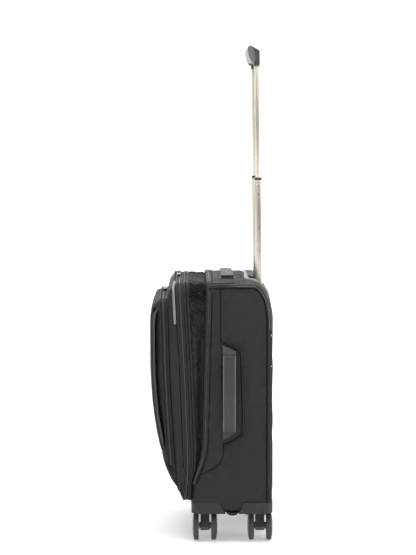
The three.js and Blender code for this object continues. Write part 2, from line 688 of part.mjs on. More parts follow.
// The pull hangs on the bail and lies along +X.
function pullSolid() {
  const tab = alongZ(roundedRectangle(3, PULL.length, -PULL.width / 2, PULL.width / 2, 2.5), -0.9, 0.9, 3);
  const eye = box(0, 6, -1.4, 1.4, -0.9, 0.9).add(cylinderY(0, 0, 1.9, -1.4, 1.4, 12));
  return tab.add(eye).subtract(cylinderY(0, 0, 1.1, -3, 3, 12)).translate([0, 0, PULL.lift]);
}

function addZip(name, place, turn, flip) {
  const frame = new THREE.Group();
  frame.position.set(...place);
  frame.rotation.set(...turn);
  suitcase.add(frame);
  add(name + "_slider", sliderSolid(), ZIP_METAL, frame);
  const lay = new THREE.Group();
  lay.rotation.z = flip ? Math.PI : 0;
  frame.add(lay);
  add(name + "_pull", pullSolid(), ZIP_METAL, lay);
}

addZip("main_zip_a", [-30, -70, LID_TOP], [0, 0, 0], false);
addZip("main_zip_b", [-66, -70, LID_TOP], [0, 0, 0], true);
// On top of the pocket, a little in front of the lid.
addZip("pocket_zip", [-62, -101, POCKET_TOP + 0.3], [0, 0, 0], false);
// On the left side of the ridge, running down it, with its pull hanging.
addZip("expansion_zip", [-HALF_WIDTH - 3, -14.1, 225], [0, -Math.PI / 2, Math.PI], false);

export default suitcase;
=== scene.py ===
import math

import bmesh
import bpy
import numpy as np
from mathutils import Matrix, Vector, noise


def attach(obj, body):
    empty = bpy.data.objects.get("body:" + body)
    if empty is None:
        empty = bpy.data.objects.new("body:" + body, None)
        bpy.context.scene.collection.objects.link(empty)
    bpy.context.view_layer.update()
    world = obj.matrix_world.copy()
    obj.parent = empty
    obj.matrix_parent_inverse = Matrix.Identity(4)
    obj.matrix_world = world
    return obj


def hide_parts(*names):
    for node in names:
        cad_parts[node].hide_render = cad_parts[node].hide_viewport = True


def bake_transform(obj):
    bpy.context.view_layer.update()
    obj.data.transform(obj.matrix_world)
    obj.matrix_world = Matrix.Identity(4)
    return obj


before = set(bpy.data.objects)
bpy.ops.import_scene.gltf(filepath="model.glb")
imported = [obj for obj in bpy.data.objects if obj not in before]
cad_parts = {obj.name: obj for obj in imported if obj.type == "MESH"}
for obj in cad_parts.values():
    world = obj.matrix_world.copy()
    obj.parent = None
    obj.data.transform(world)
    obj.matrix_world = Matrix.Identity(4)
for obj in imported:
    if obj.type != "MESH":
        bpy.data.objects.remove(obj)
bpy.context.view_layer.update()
MM = 0.001
SIDES = ((1, "right"), (-1, "left"))

# ---------------------------------------------------------------- camera, lights, floor

CAMERA = dict(place=(3.75, -0.0431, 0.8631), lens=111.9, shift=-0.08, pitch=3.359, yaw=0.562)
SOFTBOXES = {  # place, target, size and power
    "softbox_top": ((0.3, 0.0, 2.6), (0, 0, 0.4), (2.2, 2.2), 64),
    "softbox_front": ((2.4, -2.6, 1.6), (0, 0, 0.4), (1.2, 2.0), 17),
    "softbox_rear": ((1.2, 2.8, 1.1), (0, 0, 0.4), (1.0, 2.0), 27),
    "softbox_near": ((1.2, 0.1, 1.65), (0.1, 0, 0.5), (0.8, 0.8), 5.2),
}
WORLD_STRENGTH = 0.26
SWEEP = dict(front=22.0, foot=-6.5, bend=1.6, top=9.0, half=22, level=-0.0006)
GLOW = {"From Min": 1.5, "From Max": 4.5, "To Min": 0.32, "To Max": 0.95}  # by distance from the bag


def link_to_scene(ob):
    bpy.context.scene.collection.objects.link(ob)
    return ob


def add_camera():
    data = bpy.data.cameras.new("camera")
    data.sensor_width = 36
    data.lens, data.shift_y = CAMERA["lens"], CAMERA["shift"]
    camera = link_to_scene(bpy.data.objects.new("camera", data))
    pitch, yaw = math.radians(CAMERA["pitch"]), math.radians(CAMERA["yaw"])
    level = math.cos(pitch)
    forward = Vector((-level * math.cos(yaw), level * math.sin(yaw), -math.sin(pitch)))
    camera.location = CAMERA["place"]
    camera.rotation_euler = forward.to_track_quat("-Z", "Y").to_euler()
    bpy.context.scene.camera = camera


def add_lights():
    world = bpy.data.worlds.new("studio")
    world.use_nodes = True
    sky = world.node_tree.nodes["Background"].inputs
    sky[0].default_value, sky[1].default_value = (1, 1, 1, 1), WORLD_STRENGTH
    bpy.context.scene.world = world
    for name, (place, target, size, power) in SOFTBOXES.items():
        data = bpy.data.lights.new(name, "AREA")
        data.shape = "RECTANGLE"
        data.size, data.size_y = size
        data.energy = power
        light = link_to_scene(bpy.data.objects.new(name, data))
        light.location = place
        light.rotation_euler = (Vector(target) - Vector(place)).to_track_quat("-Z", "Y").to_euler()


def floor_material():
    mat = bpy.data.materials.new("sweep")
    mat.use_nodes = True
    nodes, links = mat.node_tree.nodes, mat.node_tree.links
    shader = nodes["Principled BSDF"]
    shader.inputs["Base Color"].default_value = (0.9, 0.9, 0.9, 1)
    shader.inputs["Roughness"].default_value = 0.9
    shader.inputs["Emission Color"].default_value = (1, 1, 1, 1)
    place = nodes.new("ShaderNodeTexCoord")
    distance = nodes.new("ShaderNodeVectorMath")
    distance.operation = "LENGTH"
    links.new(place.outputs["Object"], distance.inputs[0])
    glow = nodes.new("ShaderNodeMapRange")
    for key, value in GLOW.items():
        glow.inputs[key].default_value = value
    links.new(distance.outputs["Value"], glow.inputs["Value"])
    links.new(glow.outputs[0], shader.inputs["Emission Strength"])
    return mat


def add_floor():
    """A pale sweep: the floor, curving up into a wall far behind the bag."""
    foot, bend, level = SWEEP["foot"], SWEEP["bend"], SWEEP["level"]
    profile = [(SWEEP["front"], level), (foot, level)]
    for angle in np.radians(range(6, 91, 6)):
        profile.append((foot - bend * math.sin(angle), bend - bend * math.cos(angle)))
    profile.append((foot - bend, SWEEP["top"]))
    verts = [(x, y, z) for x, z in profile for y in (-SWEEP["half"], SWEEP["half"])]
    faces = [(2 * i, 2 * i + 1, 2 * i + 3, 2 * i + 2) for i in range(len(profile) - 1)]
    mesh = bpy.data.meshes.new("sweep")
    mesh.from_pydata(verts, [], faces)
    mesh.polygons.foreach_set("use_smooth", [True] * len(faces))
    mesh.materials.append(floor_material())
    link_to_scene(bpy.data.objects.new("sweep", mesh))


add_camera()
add_lights()
add_floor()
bpy.context.scene.view_settings.view_transform = "Standard"

# ---------------------------------------------------------------- materials


class Nodes:
    """A material's node tree, built a step at a time."""

    def __init__(self, name, **sockets):
        self.material = bpy.data.materials.new(name)
        self.material.use_nodes = True
        self.tree = self.material.node_tree
        self.shader = self.tree.nodes["Principled BSDF"]
        for key, value in sockets.items():
            self.shader.inputs[key.replace("_", " ")].default_value = value
        place = self.tree.nodes.new("ShaderNodeTexCoord")
        self.coords, self.normal = place.outputs["Object"], place.outputs["Normal"]

    def node(self, kind, inputs=None, **settings):
        n = self.tree.nodes.new("ShaderNode" + kind)
        for key, value in settings.items():
            setattr(n, key, value)
        for key, value in (inputs or {}).items():
            if isinstance(value, bpy.types.NodeSocket):
                self.tree.links.new(value, n.inputs[key])
            else:
                n.inputs[key].default_value = value
        return n

    def scaled(self, x, y, z):
        return self.node("Mapping", {"Vector": self.coords, "Scale": (x, y, z)}).outputs[0]

    def noise(self, scale, detail=3, vector=None, rough=0.55):
        inputs = {"Vector": vector or self.coords, "Scale": scale, "Detail": detail, "Roughness": rough}
        return self.node("TexNoise", inputs).outputs[0]

    def bands(self, axis, pitch, distortion=0.0):
        """A sine ridge every pitch metres along one axis."""
        inputs = {"Vector": self.coords, "Scale": 0.3142 / pitch, "Distortion": distortion}
        wave = self.node("TexWave", inputs)
        wave.bands_direction = axis
        return wave.outputs["Fac"]

    def threads(self, pitch):
        """Warp and weft: ridges along each axis that lies in the cloth, none along the axis that it faces."""
        facing = self.node("SeparateXYZ", {0: self.normal})
        total = 0.0
        for k, axis in enumerate("XYZ"):
            lies = self.math("SUBTRACT", 1.0, self.math("ABSOLUTE", facing.outputs[k], 0.0))
            total = self.math("ADD", total, self.math("MULTIPLY", self.bands(axis, pitch), lies))
        return total

    def math(self, op, a, b):
        return self.node("Math", {0: a, 1: b}, operation=op).outputs[0]

    def ramp(self, fac, stops):
        n = self.node("ValToRGB", {"Fac": fac})
        elements = n.color_ramp.elements
        while len(elements) < len(stops):
            elements.new(0.5)
        for e, (at, value) in zip(elements, stops):
            e.position = at
            e.color = (*value, 1) if len(value) == 3 else value
        return n.outputs[0]

    def span(self, fac, low, high, out_low, out_high):
        names = {"Value": fac, "From Min": low, "From Max": high, "To Min": out_low, "To Max": out_high}
        return self.node("MapRange", names).outputs[0]

    def link(self, output, name):
        self.tree.links.new(output, self.shader.inputs[name])

    def bump(self, height, distance, strength=1.0):
        n = self.node("Bump", {"Height": height, "Distance": distance, "Strength": strength})
        self.link(n.outputs[0], "Normal")
        return self.material


def tint(color, k):
    return tuple(min(1.0, c * k) for c in color)


def weave(name, color, pitch, depth, rough, sheen, mottle=0.12):
    """Woven cloth: warp and weft ridges, lint, and patches where the yarn lies a little lighter."""
    m = Nodes(name, Roughness=rough, Sheen_Weight=sheen, Sheen_Roughness=0.4, Specular_IOR_Level=0.25)
    ridges = m.threads(pitch)
    yarn = m.noise(1 / pitch, 2)
    patches = m.noise(14, 4)
    fine = m.math("ADD", m.math("MULTIPLY", yarn, 0.35), m.math("MULTIPLY", patches, 0.4))
    value = m.math("ADD", m.math("MULTIPLY", ridges, 0.2), fine)
    tones = [(0.3, tint(color, 1 - 2.2 * mottle)), (0.5, color), (0.75, tint(color, 1 + 3 * mottle))]
    m.link(m.ramp(value, tones), "Base Color")
    m.link(m.span(patches, 0.3, 0.7, rough - 0.08, rough + 0.08), "Roughness")
    return m.bump(m.math("ADD", m.math("MULTIPLY", ridges, 0.5), yarn), depth)


def moulded(name, color, rough, grain=900, depth=0.00012, coat=0.0, shine=0.5):
    """Moulded plastic: fine spark grain, faint scuffs, and slightly lighter worn patches."""
    m = Nodes(name, Roughness=rough, Coat_Weight=coat, Coat_Roughness=0.25, Specular_IOR_Level=shine)
    patches = m.noise(30, 5, rough=0.7)
    scuffs = m.noise(1, 3, m.scaled(90, 700, 90))
    tones = [(0.3, tint(color, 0.85)), (0.55, color), (0.8, tint(color, 1.35))]
    m.link(m.ramp(patches, tones), "Base Color")
    m.link(m.span(scuffs, 0.3, 0.8, rough - 0.07, rough + 0.1), "Roughness")
    return m.bump(m.noise(grain, 2), depth)


def hide(name, color, rough, coat):
    """Coated leatherette: pebbled cells with creases between them."""
    m = Nodes(name, Roughness=rough, Specular_IOR_Level=0.45, Coat_Weight=coat, Coat_Roughness=0.22)
    cells = m.node("TexVoronoi", {"Vector": m.coords, "Scale": 900}).outputs["Distance"]
    patches = m.noise(35, 4)
    m.link(m.ramp(patches, [(0.3, tint(color, 0.82)), (0.7, tint(color, 1.2))]), "Base Color")
    m.link(m.span(patches, 0.3, 0.7, rough - 0.06, rough + 0.06), "Roughness")
    return m.bump(m.math("ADD", m.math("MULTIPLY", cells, -0.8), m.noise(1500, 2)), 0.0002)


def brushed(name, color, rough, stretch=(1100, 1100, 1.5)):
    """Drawn metal, its streaks running along Z."""
    m = Nodes(name, Metallic=1.0, Roughness=rough)
    streaks = m.noise(1, 3, m.scaled(*stretch))
    m.link(m.ramp(streaks, [(0.3, tint(color, 0.9)), (0.7, tint(color, 1.03))]), "Base Color")
    m.link(m.span(streaks, 0.3, 0.7, rough - 0.04, rough + 0.05), "Roughness")
    return m.bump(streaks, 0.000015)


def ribbed(name, color, axis, pitch, rough):
    """Zip tape or coil: fine ribs along one axis over a soft noise."""
    m = Nodes(name, Roughness=rough, Sheen_Weight=0.06)
    ribs = m.bands(axis, pitch)
    m.link(m.ramp(ribs, [(0.2, tint(color, 0.55)), (0.8, tint(color, 1.5))]), "Base Color")
    return m.bump(m.math("ADD", ribs, m.math("MULTIPLY", m.noise(700, 2), 0.3)), 0.0003)


MAT = {
    "shell": weave("shell_nylon", (0.0176, 0.017, 0.0166), 0.0011, 0.00018, 0.66, 0.07, 0.07),
    "pocket": weave("pocket_nylon", (0.017, 0.0165, 0.016), 0.0011, 0.00018, 0.66, 0.08),
    "gusset": weave("gusset_nylon", (0.0172, 0.0169, 0.0167), 0.0007, 0.0001, 0.7, 0.04, 0.06),
    "binding": weave("binding_tape", (0.017, 0.017, 0.017), 0.0016, 0.0002, 0.5, 0.08),
    "hem": weave("hem_tape", (0.052, 0.051, 0.05), 0.0016, 0.0002, 0.4, 0.15),
    # seam: near-black strips laid along seams and zips; this colour is painted shade, standing for the shadow
    # in each seam's groove.
    "seam": weave("seam_painted_shadow", (0.0035, 0.0035, 0.0035), 0.0008, 0.0001, 0.9, 0.0),
    "rim": weave("rim_nylon", (0.0165, 0.016, 0.016), 0.0009, 0.00016, 0.6, 0.08),
    "lining": weave("lining_polyester", (0.2, 0.205, 0.21), 0.0008, 0.0001, 0.75, 0.3),
    "tape": ribbed("zip_tape", (0.009, 0.009, 0.009), "Y", 0.0022, 0.75),
    "coil": ribbed("zip_coil", (0.03, 0.03, 0.03), "Z", 0.0026, 0.45),
    "thread": weave("thread", (0.026, 0.0255, 0.025), 0.0005, 0.0001, 0.5, 0.1),
    "trim": moulded("trim_grey", (0.038, 0.039, 0.039), 0.38, coat=0.15),
    # bright: the lid's corner strip; its light grey base colour is a painted highlight standing for the shine
    # along a glossy strip.
    "bright": moulded("lid_strip_painted_highlight", (0.2, 0.202, 0.2), 0.3, coat=0.4),
    "guard": moulded("guard_gloss", (0.029, 0.0295, 0.0295), 0.25, coat=0.6),
    "black": moulded("moulded_black", (0.032, 0.034, 0.033), 0.42),
    "low_bracket": moulded("bracket_dark", (0.0215, 0.022, 0.0215), 0.45),
    # cup: the near-black inside of the trolley cup, painted shade for its depth.
    "cup": moulded("cup_inside_painted_shade", (0.02, 0.02, 0.02), 0.5),
    "handle": hide("handle_hide", (0.027, 0.0275, 0.028), 0.42, 0.15),
    # handle_edge: lighter strips along the side handle's edges, a painted highlight on its bevels.
    "handle_edge": hide("handle_edge_painted_highlight", (0.1, 0.101, 0.102), 0.34, 0.3),
    "top_handle": hide("top_handle_hide", (0.032, 0.033, 0.034), 0.5, 0.0),
    "tube": brushed("tube_champagne", (0.76, 0.692, 0.605), 0.28),
    "housing": moulded("housing_grey", (0.0205, 0.0213, 0.0207), 0.5, grain=1400, shine=0.35),
    "fork": moulded("fork_grey", (0.08, 0.083, 0.081), 0.4),
    "stipple": moulded("stippled_grey", (0.102, 0.105, 0.102), 0.5, grain=1100, depth=0.0004),
    "bezel": moulded("bezel_grey", (0.18, 0.183, 0.183), 0.38),
    "steel": brushed("steel", (0.55, 0.55, 0.55), 0.3),
    "zip": brushed("zip_metal", (0.16, 0.15, 0.14), 0.35, (600, 600, 600)),
    "wheel": moulded("wheel_body", (0.068, 0.071, 0.062), 0.45),
    "tread": moulded("wheel_tread", (0.042, 0.045, 0.039), 0.7, grain=500, depth=0.0003),
    # hole: near-black dishes on the tubes, painted shade standing for the depth of each hole.
    "hole": moulded("hole_painted_shade", (0.006, 0.006, 0.006), 0.8),
}

# ---------------------------------------------------------------- mesh helpers, in millimetres


def as_rows(ob, attribute="co"):
    """One three-number attribute of every vertex, as rows."""
    values = np.empty(len(ob.data.vertices) * 3)
    ob.data.vertices.foreach_get(attribute, values)
    return values.reshape(-1, 3)


def put_rows(ob, values):
    ob.data.vertices.foreach_set("co", values.ravel())
    ob.data.update()


def soften(ob, level=1):
    sub = ob.modifiers.new("soft", "SUBSURF")
    sub.levels = sub.render_levels = level


def build(name, verts, faces, material, body, slot=None, level=0):
    mesh = bpy.data.meshes.new(name)
    mesh.from_pydata((np.array(verts) * MM).tolist(), [], [tuple(f) for f in faces])
    bm = bmesh.new()
    bm.from_mesh(mesh)
    bmesh.ops.remove_doubles(bm, verts=bm.verts, dist=1e-6)
    bmesh.ops.dissolve_degenerate(bm, edges=bm.edges, dist=1e-7)
    bmesh.ops.recalc_face_normals(bm, faces=bm.faces)
    bm.to_mesh(mesh)
    bm.free()
    ob = link_to_scene(bpy.data.objects.new(name, mesh))
    mesh.materials.append(MAT[material])
    mesh.polygons.foreach_set("use_smooth", [True] * len(mesh.polygons))
    if level:
        soften(ob, level)
    if body:
        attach(ob, body)
    return ob


def grid_faces(rows, cols, loop=False, start=0):
    """Quads of a grid of vertices, row by row; loop closes each row on itself."""
    out = []
    for i in range(rows - 1):
        a, b = start + i * cols, start + (i + 1) * cols
        for j in range(cols if loop else cols - 1):
            k = (j + 1) % cols
            out.append((a + j, a + k, b + k, b + j))
    return out


def grid(name, points, material, body, loop=False, **more):
    """A sheet from rows of points."""
    points = np.array(points)
    rows, cols = points.shape[:2]
    return build(name, points.reshape(-1, 3), grid_faces(rows, cols, loop), material, body, **more)


def split_edges(ob, degrees):
    ob.modifiers.new("crease", "EDGE_SPLIT").split_angle = math.radians(degrees)


def curve_through(points, step):
    """A smooth run through the points, resampled at an even step."""
    p = np.array(points, float)
    ext = np.vstack([2 * p[0] - p[1], p, 2 * p[-1] - p[-2]])
    out = []
    for i in range(len(p) - 1):
        a, b, c, d = ext[i : i + 4]
        t = np.linspace(0, 1, 24, endpoint=False)[:, None]
        square, cube = 2 * a - 5 * b + 4 * c - d, 3 * b - 3 * c + d - a
        out.append(0.5 * (2 * b + (c - a) * t + square * t**2 + cube * t**3))
    out.append(p[-1:])
    return resample(np.vstack(out), step)


def resample(p, step, count=None):
    d = np.r_[0, np.cumsum(np.linalg.norm(np.diff(p, axis=0), axis=1))]
    n = count or max(2, int(round(d[-1] / step)) + 1)
    s = np.linspace(0, d[-1], n)
    return np.stack([np.interp(s, d, p[:, k]) for k in range(p.shape[1])], 1)


def smooth_table(points):
    """Y as a function of Z through a few points, in millimetres."""
    q = curve_through(points, 2.0)
    order = np.argsort(q[:, 1])
    z, y = q[order, 1], q[order, 0]
    return lambda at: np.interp(at, z, y)


def turn(cx, cz, rx, rz, start, step, count):
    """Points round part of an ellipse, from a start angle in degrees."""
    angles = [math.radians(start + step * k) for k in range(count)]
    return [(cx + rx * math.cos(a), cz + rz * math.sin(a)) for a in angles]


def outwards(tangent):
    """Unit normals to the right of a path's tangents, in its own plane."""
    tangent = tangent / np.linalg.norm(tangent, axis=1)[:, None]
    return np.stack([tangent[:, 1], -tangent[:, 0]], 1)


def rounded_ring(half, low, high, radius, foot, count):
    """A rounded rectangle in X and Z, from the middle of its foot, by its right side; and its normals."""
    radius, foot = (max(0.5, min(r, half - 0.1, (high - low) / 2 - 0.1)) for r in (radius, foot))
    pts = [(0, low)]
    for sx, sz, start in ((1, -1, -90), (1, 1, 0), (-1, 1, 90), (-1, -1, 180)):
        r = radius if sz > 0 else foot
        pts += turn(sx * (half - r), high - r if sz > 0 else low + r, r, r, start, 7.5, 13)
    pts.append((0, low))
    p = resample(np.array(pts, float), 1, count + 1)[:-1]
    return p, outwards(np.roll(p, -1, 0) - np.roll(p, 1, 0))


def arch(half, high, radius, foot, step):
    """Up the right side from foot, over the top, and down the left; and its normals."""
    pts = [(half, foot)]
    for cx, start in ((half - radius, 0), (radius - half, 90)):
        pts += turn(cx, high - radius, radius, radius, start, 7.5, 13)
    pts.append((-half, foot))
    p = resample(np.array(pts, float), step)
    return p, outwards(np.gradient(p, axis=0))


def same(vector, count):
    """The same direction for every point of a path."""
    return np.tile(np.array(vector, float), (count, 1))


def sweep(name, path, normals, section, material, body, loop=False, taper=None, **more):
    """Carries a closed section (across, out) along a path; out follows the normals.
    taper gives the section's size along the path."""
    path, normals = np.array(path, float), np.array(normals, float)
    tangent = np.roll(path, -1, 0) - np.roll(path, 1, 0) if loop else np.gradient(path, axis=0)
    tangent /= np.linalg.norm(tangent, axis=1)[:, None]
    normals = normals - (normals * tangent).sum(1)[:, None] * tangent
    normals /= np.linalg.norm(normals, axis=1)[:, None]
    across = np.cross(tangent, normals)
    size = np.ones(len(path)) if taper is None else np.asarray(taper)
    s = np.array(section, float)[None] * size[:, None, None]
    pts = path[:, None] + across[:, None] * s[:, :, :1] + normals[:, None] * s[:, :, 1:]
    rows, cols = pts.shape[:2]
    if loop:
        pts = np.concatenate([pts, pts[:1]])
        return grid(name, pts, material, body, loop=True, **more)
    faces = grid_faces(rows, cols, True)
    faces += [tuple(range(cols)), tuple(range((rows - 1) * cols, rows * cols))]
    return build(name, pts.reshape(-1, 3), faces, material, body, **more)


def oval(w, h, n=8):
    a = np.linspace(0, 2 * math.pi, n, endpoint=False)
    return np.stack([w / 2 * np.cos(a), h / 2 * np.sin(a)], 1)


STITCH_GAP, STITCH_PROUD = 1.6, 0.35
STITCH_SHAPE = ((-0.5, 0.3, 0), (-0.25, 1, 1), (0.25, 1, 1), (0.5, 0.3, 0))  # along, thickness, height


def stitches(name, runs, body, length=3.2, width=0.7):
    """Thread stitches along runs of (path, normals), each one a small four-sided grain of thread."""
    verts, faces = [], []
    for path, normals in runs:
        both = np.hstack([np.array(path, float), np.array(normals, float)])
        both = resample(both, length + STITCH_GAP)
        for a, b in zip(both[:-1], both[1:]):
            mid, n = (a[:3] + b[:3]) / 2, (a[3:] + b[3:]) / 2
            t = b[:3] - a[:3]
            t /= np.linalg.norm(t) + 1e-9
            n /= np.linalg.norm(n) + 1e-9
            side = np.cross(t, n)
            base = len(verts)
            for along, w, h in STITCH_SHAPE:
                for k in range(4):
                    turned = math.pi / 4 + k * math.pi / 2
                    out = (h + math.sin(turned) * w) * STITCH_PROUD
                    sideways = math.cos(turned) * w * width * 0.6
                    verts.append(mid + t * along * length + side * sideways + n * out)
            faces += grid_faces(4, 4, True, base)
            faces += [tuple(range(base, base + 4)), tuple(range(base + 12, base + 16))]
    return build(name, verts, faces, "thread", body)


def fractal(p, scale, seed, octaves=3):
    """Smooth noise at points, about -1 to 1."""
    q = np.asarray(p, float).reshape(-1, 3) / scale + seed * 17.3
    return np.array([noise.fractal(Vector(v), 0.6, 2.0, octaves) for v in q])


def displace(ob, amount):
    """Moves each vertex along its normal by amount(position, normal)."""
    co, no = as_rows(ob), as_rows(ob, "normal")
    put_rows(ob, co + no * (np.asarray(amount(co / MM, no))[:, None] * MM))


def ripple(ob, depth, stretch, scale, seed):
    """Displaces a piece by smooth noise alone."""
    displace(ob, lambda p, n: depth * fractal(p * stretch, scale, seed))


def cloth_settings(cloth, pressure, slack, stiff, bend):
    s = cloth.settings
    s.quality = 4
    s.mass = 0.25
    s.vertex_group_mass = "seam"
    s.pin_stiffness = 1.0
    s.tension_stiffness = s.compression_stiffness = stiff
    s.shear_stiffness = stiff / 2
    s.bending_stiffness = bend
    s.use_pressure = True
    s.uniform_pressure_force = pressure
    s.shrink_min = -slack
    s.effector_weights.gravity = 0
    cloth.collision_settings.use_collision = False
    cloth.collision_settings.use_self_collision = False


def settle(ob, pinned, pressure, slack, cap, frames=20, stiff=18, bend=1.2):
    """Cloth: the sheet, cut larger than its place by slack, swells and creases between its seams.
    No vertex moves further than cap."""
    rest = as_rows(ob)
    group = ob.vertex_groups.new(name="seam")
    group.add([int(i) for i in np.nonzero(pinned(rest / MM))[0]], 1.0, "REPLACE")
    cloth = ob.modifiers.new("cloth", "CLOTH")
    cloth_settings(cloth, pressure, slack, stiff, bend)
    cloth.point_cache.frame_start, cloth.point_cache.frame_end = 1, frames
    scene = bpy.context.scene
    for f in range(1, frames + 1):
        scene.frame_set(f)
    settled = ob.evaluated_get(bpy.context.evaluated_depsgraph_get())
    moved = settled.to_mesh()
    now = np.empty(len(moved.vertices) * 3)
    moved.vertices.foreach_get("co", now)
    settled.to_mesh_clear()
    ob.modifiers.remove(cloth)
    ob.vertex_groups.clear()
    scene.frame_set(1)
    step = now.reshape(-1, 3) - rest
    far = np.linalg.norm(step, axis=1)
    limit = cap * MM
    step *= (limit * np.tanh(far / limit) / np.maximum(far, 1e-9))[:, None]
    put_rows(ob, rest + step)


# ---------------------------------------------------------------- the bag's lines

HALF, TOP, LOW, BACK, SILL = 172.0, 549.0, 64.0, 127.0, 125.0
EDGE = 14.0  # rounding between a side panel and the wrap
FOOT_ROUND = 10.0  # rounding of the case's lower edges in the side view
CORNER_Y, CORNER_Z, CORNER_DEEP, CORNER_TALL = 85.0, 469.0, 42.0, 80.0

# Side-view lines (Y, Z), from the top down.
zip_line = smooth_table([
    (-68, 556), (-64, 470), (-57, 345), (-52.3, 220), (-50.5, 157), (-55, 104), (-57, 86),
])
frame_back = smooth_table([
    (-50, 556), (-46, 470), (-39, 345), (-34.5, 220), (-33, 172), (-36.5, 150), (-42.8, 128), (-42.8, 86),
])
lid_front = smooth_table([
    (-75, 557), (-80, 549), (-86, 539), (-91, 530), (-93, 521), (-92.4, 500), (-91, 470), (-87, 345),
    (-80, 220), (-75.5, 160), (-70.5, 120), (-66.5, 104), (-63, 96), (-60, 88),
])
pocket_front = smooth_table([
    (-106, 514), (-117, 510), (-123, 501), (-126.5, 489), (-127.8, 474), (-127.5, 400), (-126, 345),
    (-118, 261), (-101, 178), (-84, 134), (-73, 113), (-65.5, 102),
])


def mouth_points():
    """Front edge of the side panels (Y, Z): it leans forwards on its way down, then runs out to the sill."""
    t = np.linspace(0, 1, 40)[:, None]
    a, b, c, d = (np.array(p, float) for p in ((-20, 210), (-20.8, 182), (-33, 156), (-42, SILL)))
    curve = (1 - t) ** 3 * a + 3 * (1 - t) ** 2 * t * b + 3 * (1 - t) * t**2 * c + t**3 * d
    return np.vstack([[-10.7, 560], curve])[::-1]


MOUTH = mouth_points()


def mouth(z):
    return np.interp(z, MOUTH[:, 1], MOUTH[:, 0], left=-42)


def case_outline():
    """The case's side view (Y, Z) from the top of the mouth, back, down, forwards and up to the sill."""
    pts = [(-11, TOP), (CORNER_Y, TOP)]
    pts += turn(CORNER_Y, CORNER_Z, CORNER_DEEP, CORNER_TALL, 86.25, -3.75, 24)
    for cy, start in ((BACK - FOOT_ROUND, 0), (-32, -90)):
        pts += turn(cy, LOW + FOOT_ROUND, FOOT_ROUND, FOOT_ROUND, start, -15, 7)
    pts.append((-42, SILL))
    p = resample(np.array(pts, float), 3.0)
    return p, -outwards(np.gradient(p, axis=0))


OUTLINE, OUT_NORMAL = case_outline()


def distance_to(points, line):
    """Distance of each (a, b) from a polyline."""
    best = np.full(len(points), 1e9)
    for a, b in zip(line[:-1], line[1:]):
        d = b - a
        t = np.clip(((points - a) @ d) / (d @ d + 1e-12), 0, 1)
        best = np.minimum(best, np.linalg.norm(points - (a + t[:, None] * d), axis=1))
    return best


# Lines sewn on a side panel (Y, Z): the hip, the welt of the handle's recess, and an upright seam.
SEAM_KNEE = (18.4, 429.7)
HIP = curve_through([(24.9, 204.9), (24.1, 190.3), (20.5, 175.6), (9.6, 164), (-8, 153), (-26, 145.5)], 3)
WELT = curve_through([
    SEAM_KNEE, (38, 421), (55.2, 411.3), (61, 404), (62.5, 396.7), (64.6, 345),
    (66.1, 240.4), (64, 230), (58.1, 223.7), (42, 214), (25.2, 207),
], 3)
UP_SEAM = np.array([(17.8, 546), SEAM_KNEE], float)
LOW_SEAM = np.array([SEAM_KNEE, (25.0, 204.9)], float)


def in_recess(y, z):
    """1 inside the side handle's recess, 0 outside."""
    right = np.interp(z, WELT[::-1, 1], WELT[::-1, 0])
    left = np.interp(z, LOW_SEAM[::-1, 1], LOW_SEAM[::-1, 0])
    high = np.interp(y, [18, 38, 55, 62], [429, 421, 411, 400]) - z
    low = z - np.interp(y, [25, 42, 58, 64], [207, 214, 223, 230])
    edge = np.minimum(np.minimum(right - y, y - left), np.minimum(high, low))
    return np.clip(edge / 4, 0, 1)


# ---------------------------------------------------------------- side panels

PANEL_COLUMNS = 52
NEAR_EDGE = np.array([0, 0.8, 2, 4, 6.5, 9.5, 13, 17])  # columns drawn close together at each edge


def panel_grid():
    low = np.linspace(LOW, LOW + 24, 9)
    mid = np.linspace(LOW + 24, CORNER_Z, 82)[1:]
    high = CORNER_Z + CORNER_TALL * np.sin(np.radians(np.linspace(0, 90, 40)))[1:]
    z = np.concatenate([low, mid, high])
    bend = np.sqrt(np.clip(1 - ((z - CORNER_Z) / CORNER_TALL) ** 2, 0, 1))
    back = np.where(z > CORNER_Z, CORNER_Y + CORNER_DEEP * bend, BACK)
    foot = FOOT_ROUND**2 - (LOW + FOOT_ROUND - z) ** 2
    back = np.where(z < LOW + FOOT_ROUND, BACK - FOOT_ROUND + np.sqrt(np.clip(foot, 0, 100)), back)
    front = np.where(z > SILL, mouth(z), -42.0)
    y = np.empty((len(z), PANEL_COLUMNS))
    for i, width in enumerate(back - front):
        near = NEAR_EDGE * min(1.0, width / 60)
        between = np.linspace(near[-1], width - near[-1], PANEL_COLUMNS - 14)[1:-1]
        y[i] = front[i] + np.concatenate([near, between, width - near[::-1]])
    return y, np.repeat(z[:, None], PANEL_COLUMNS, 1)


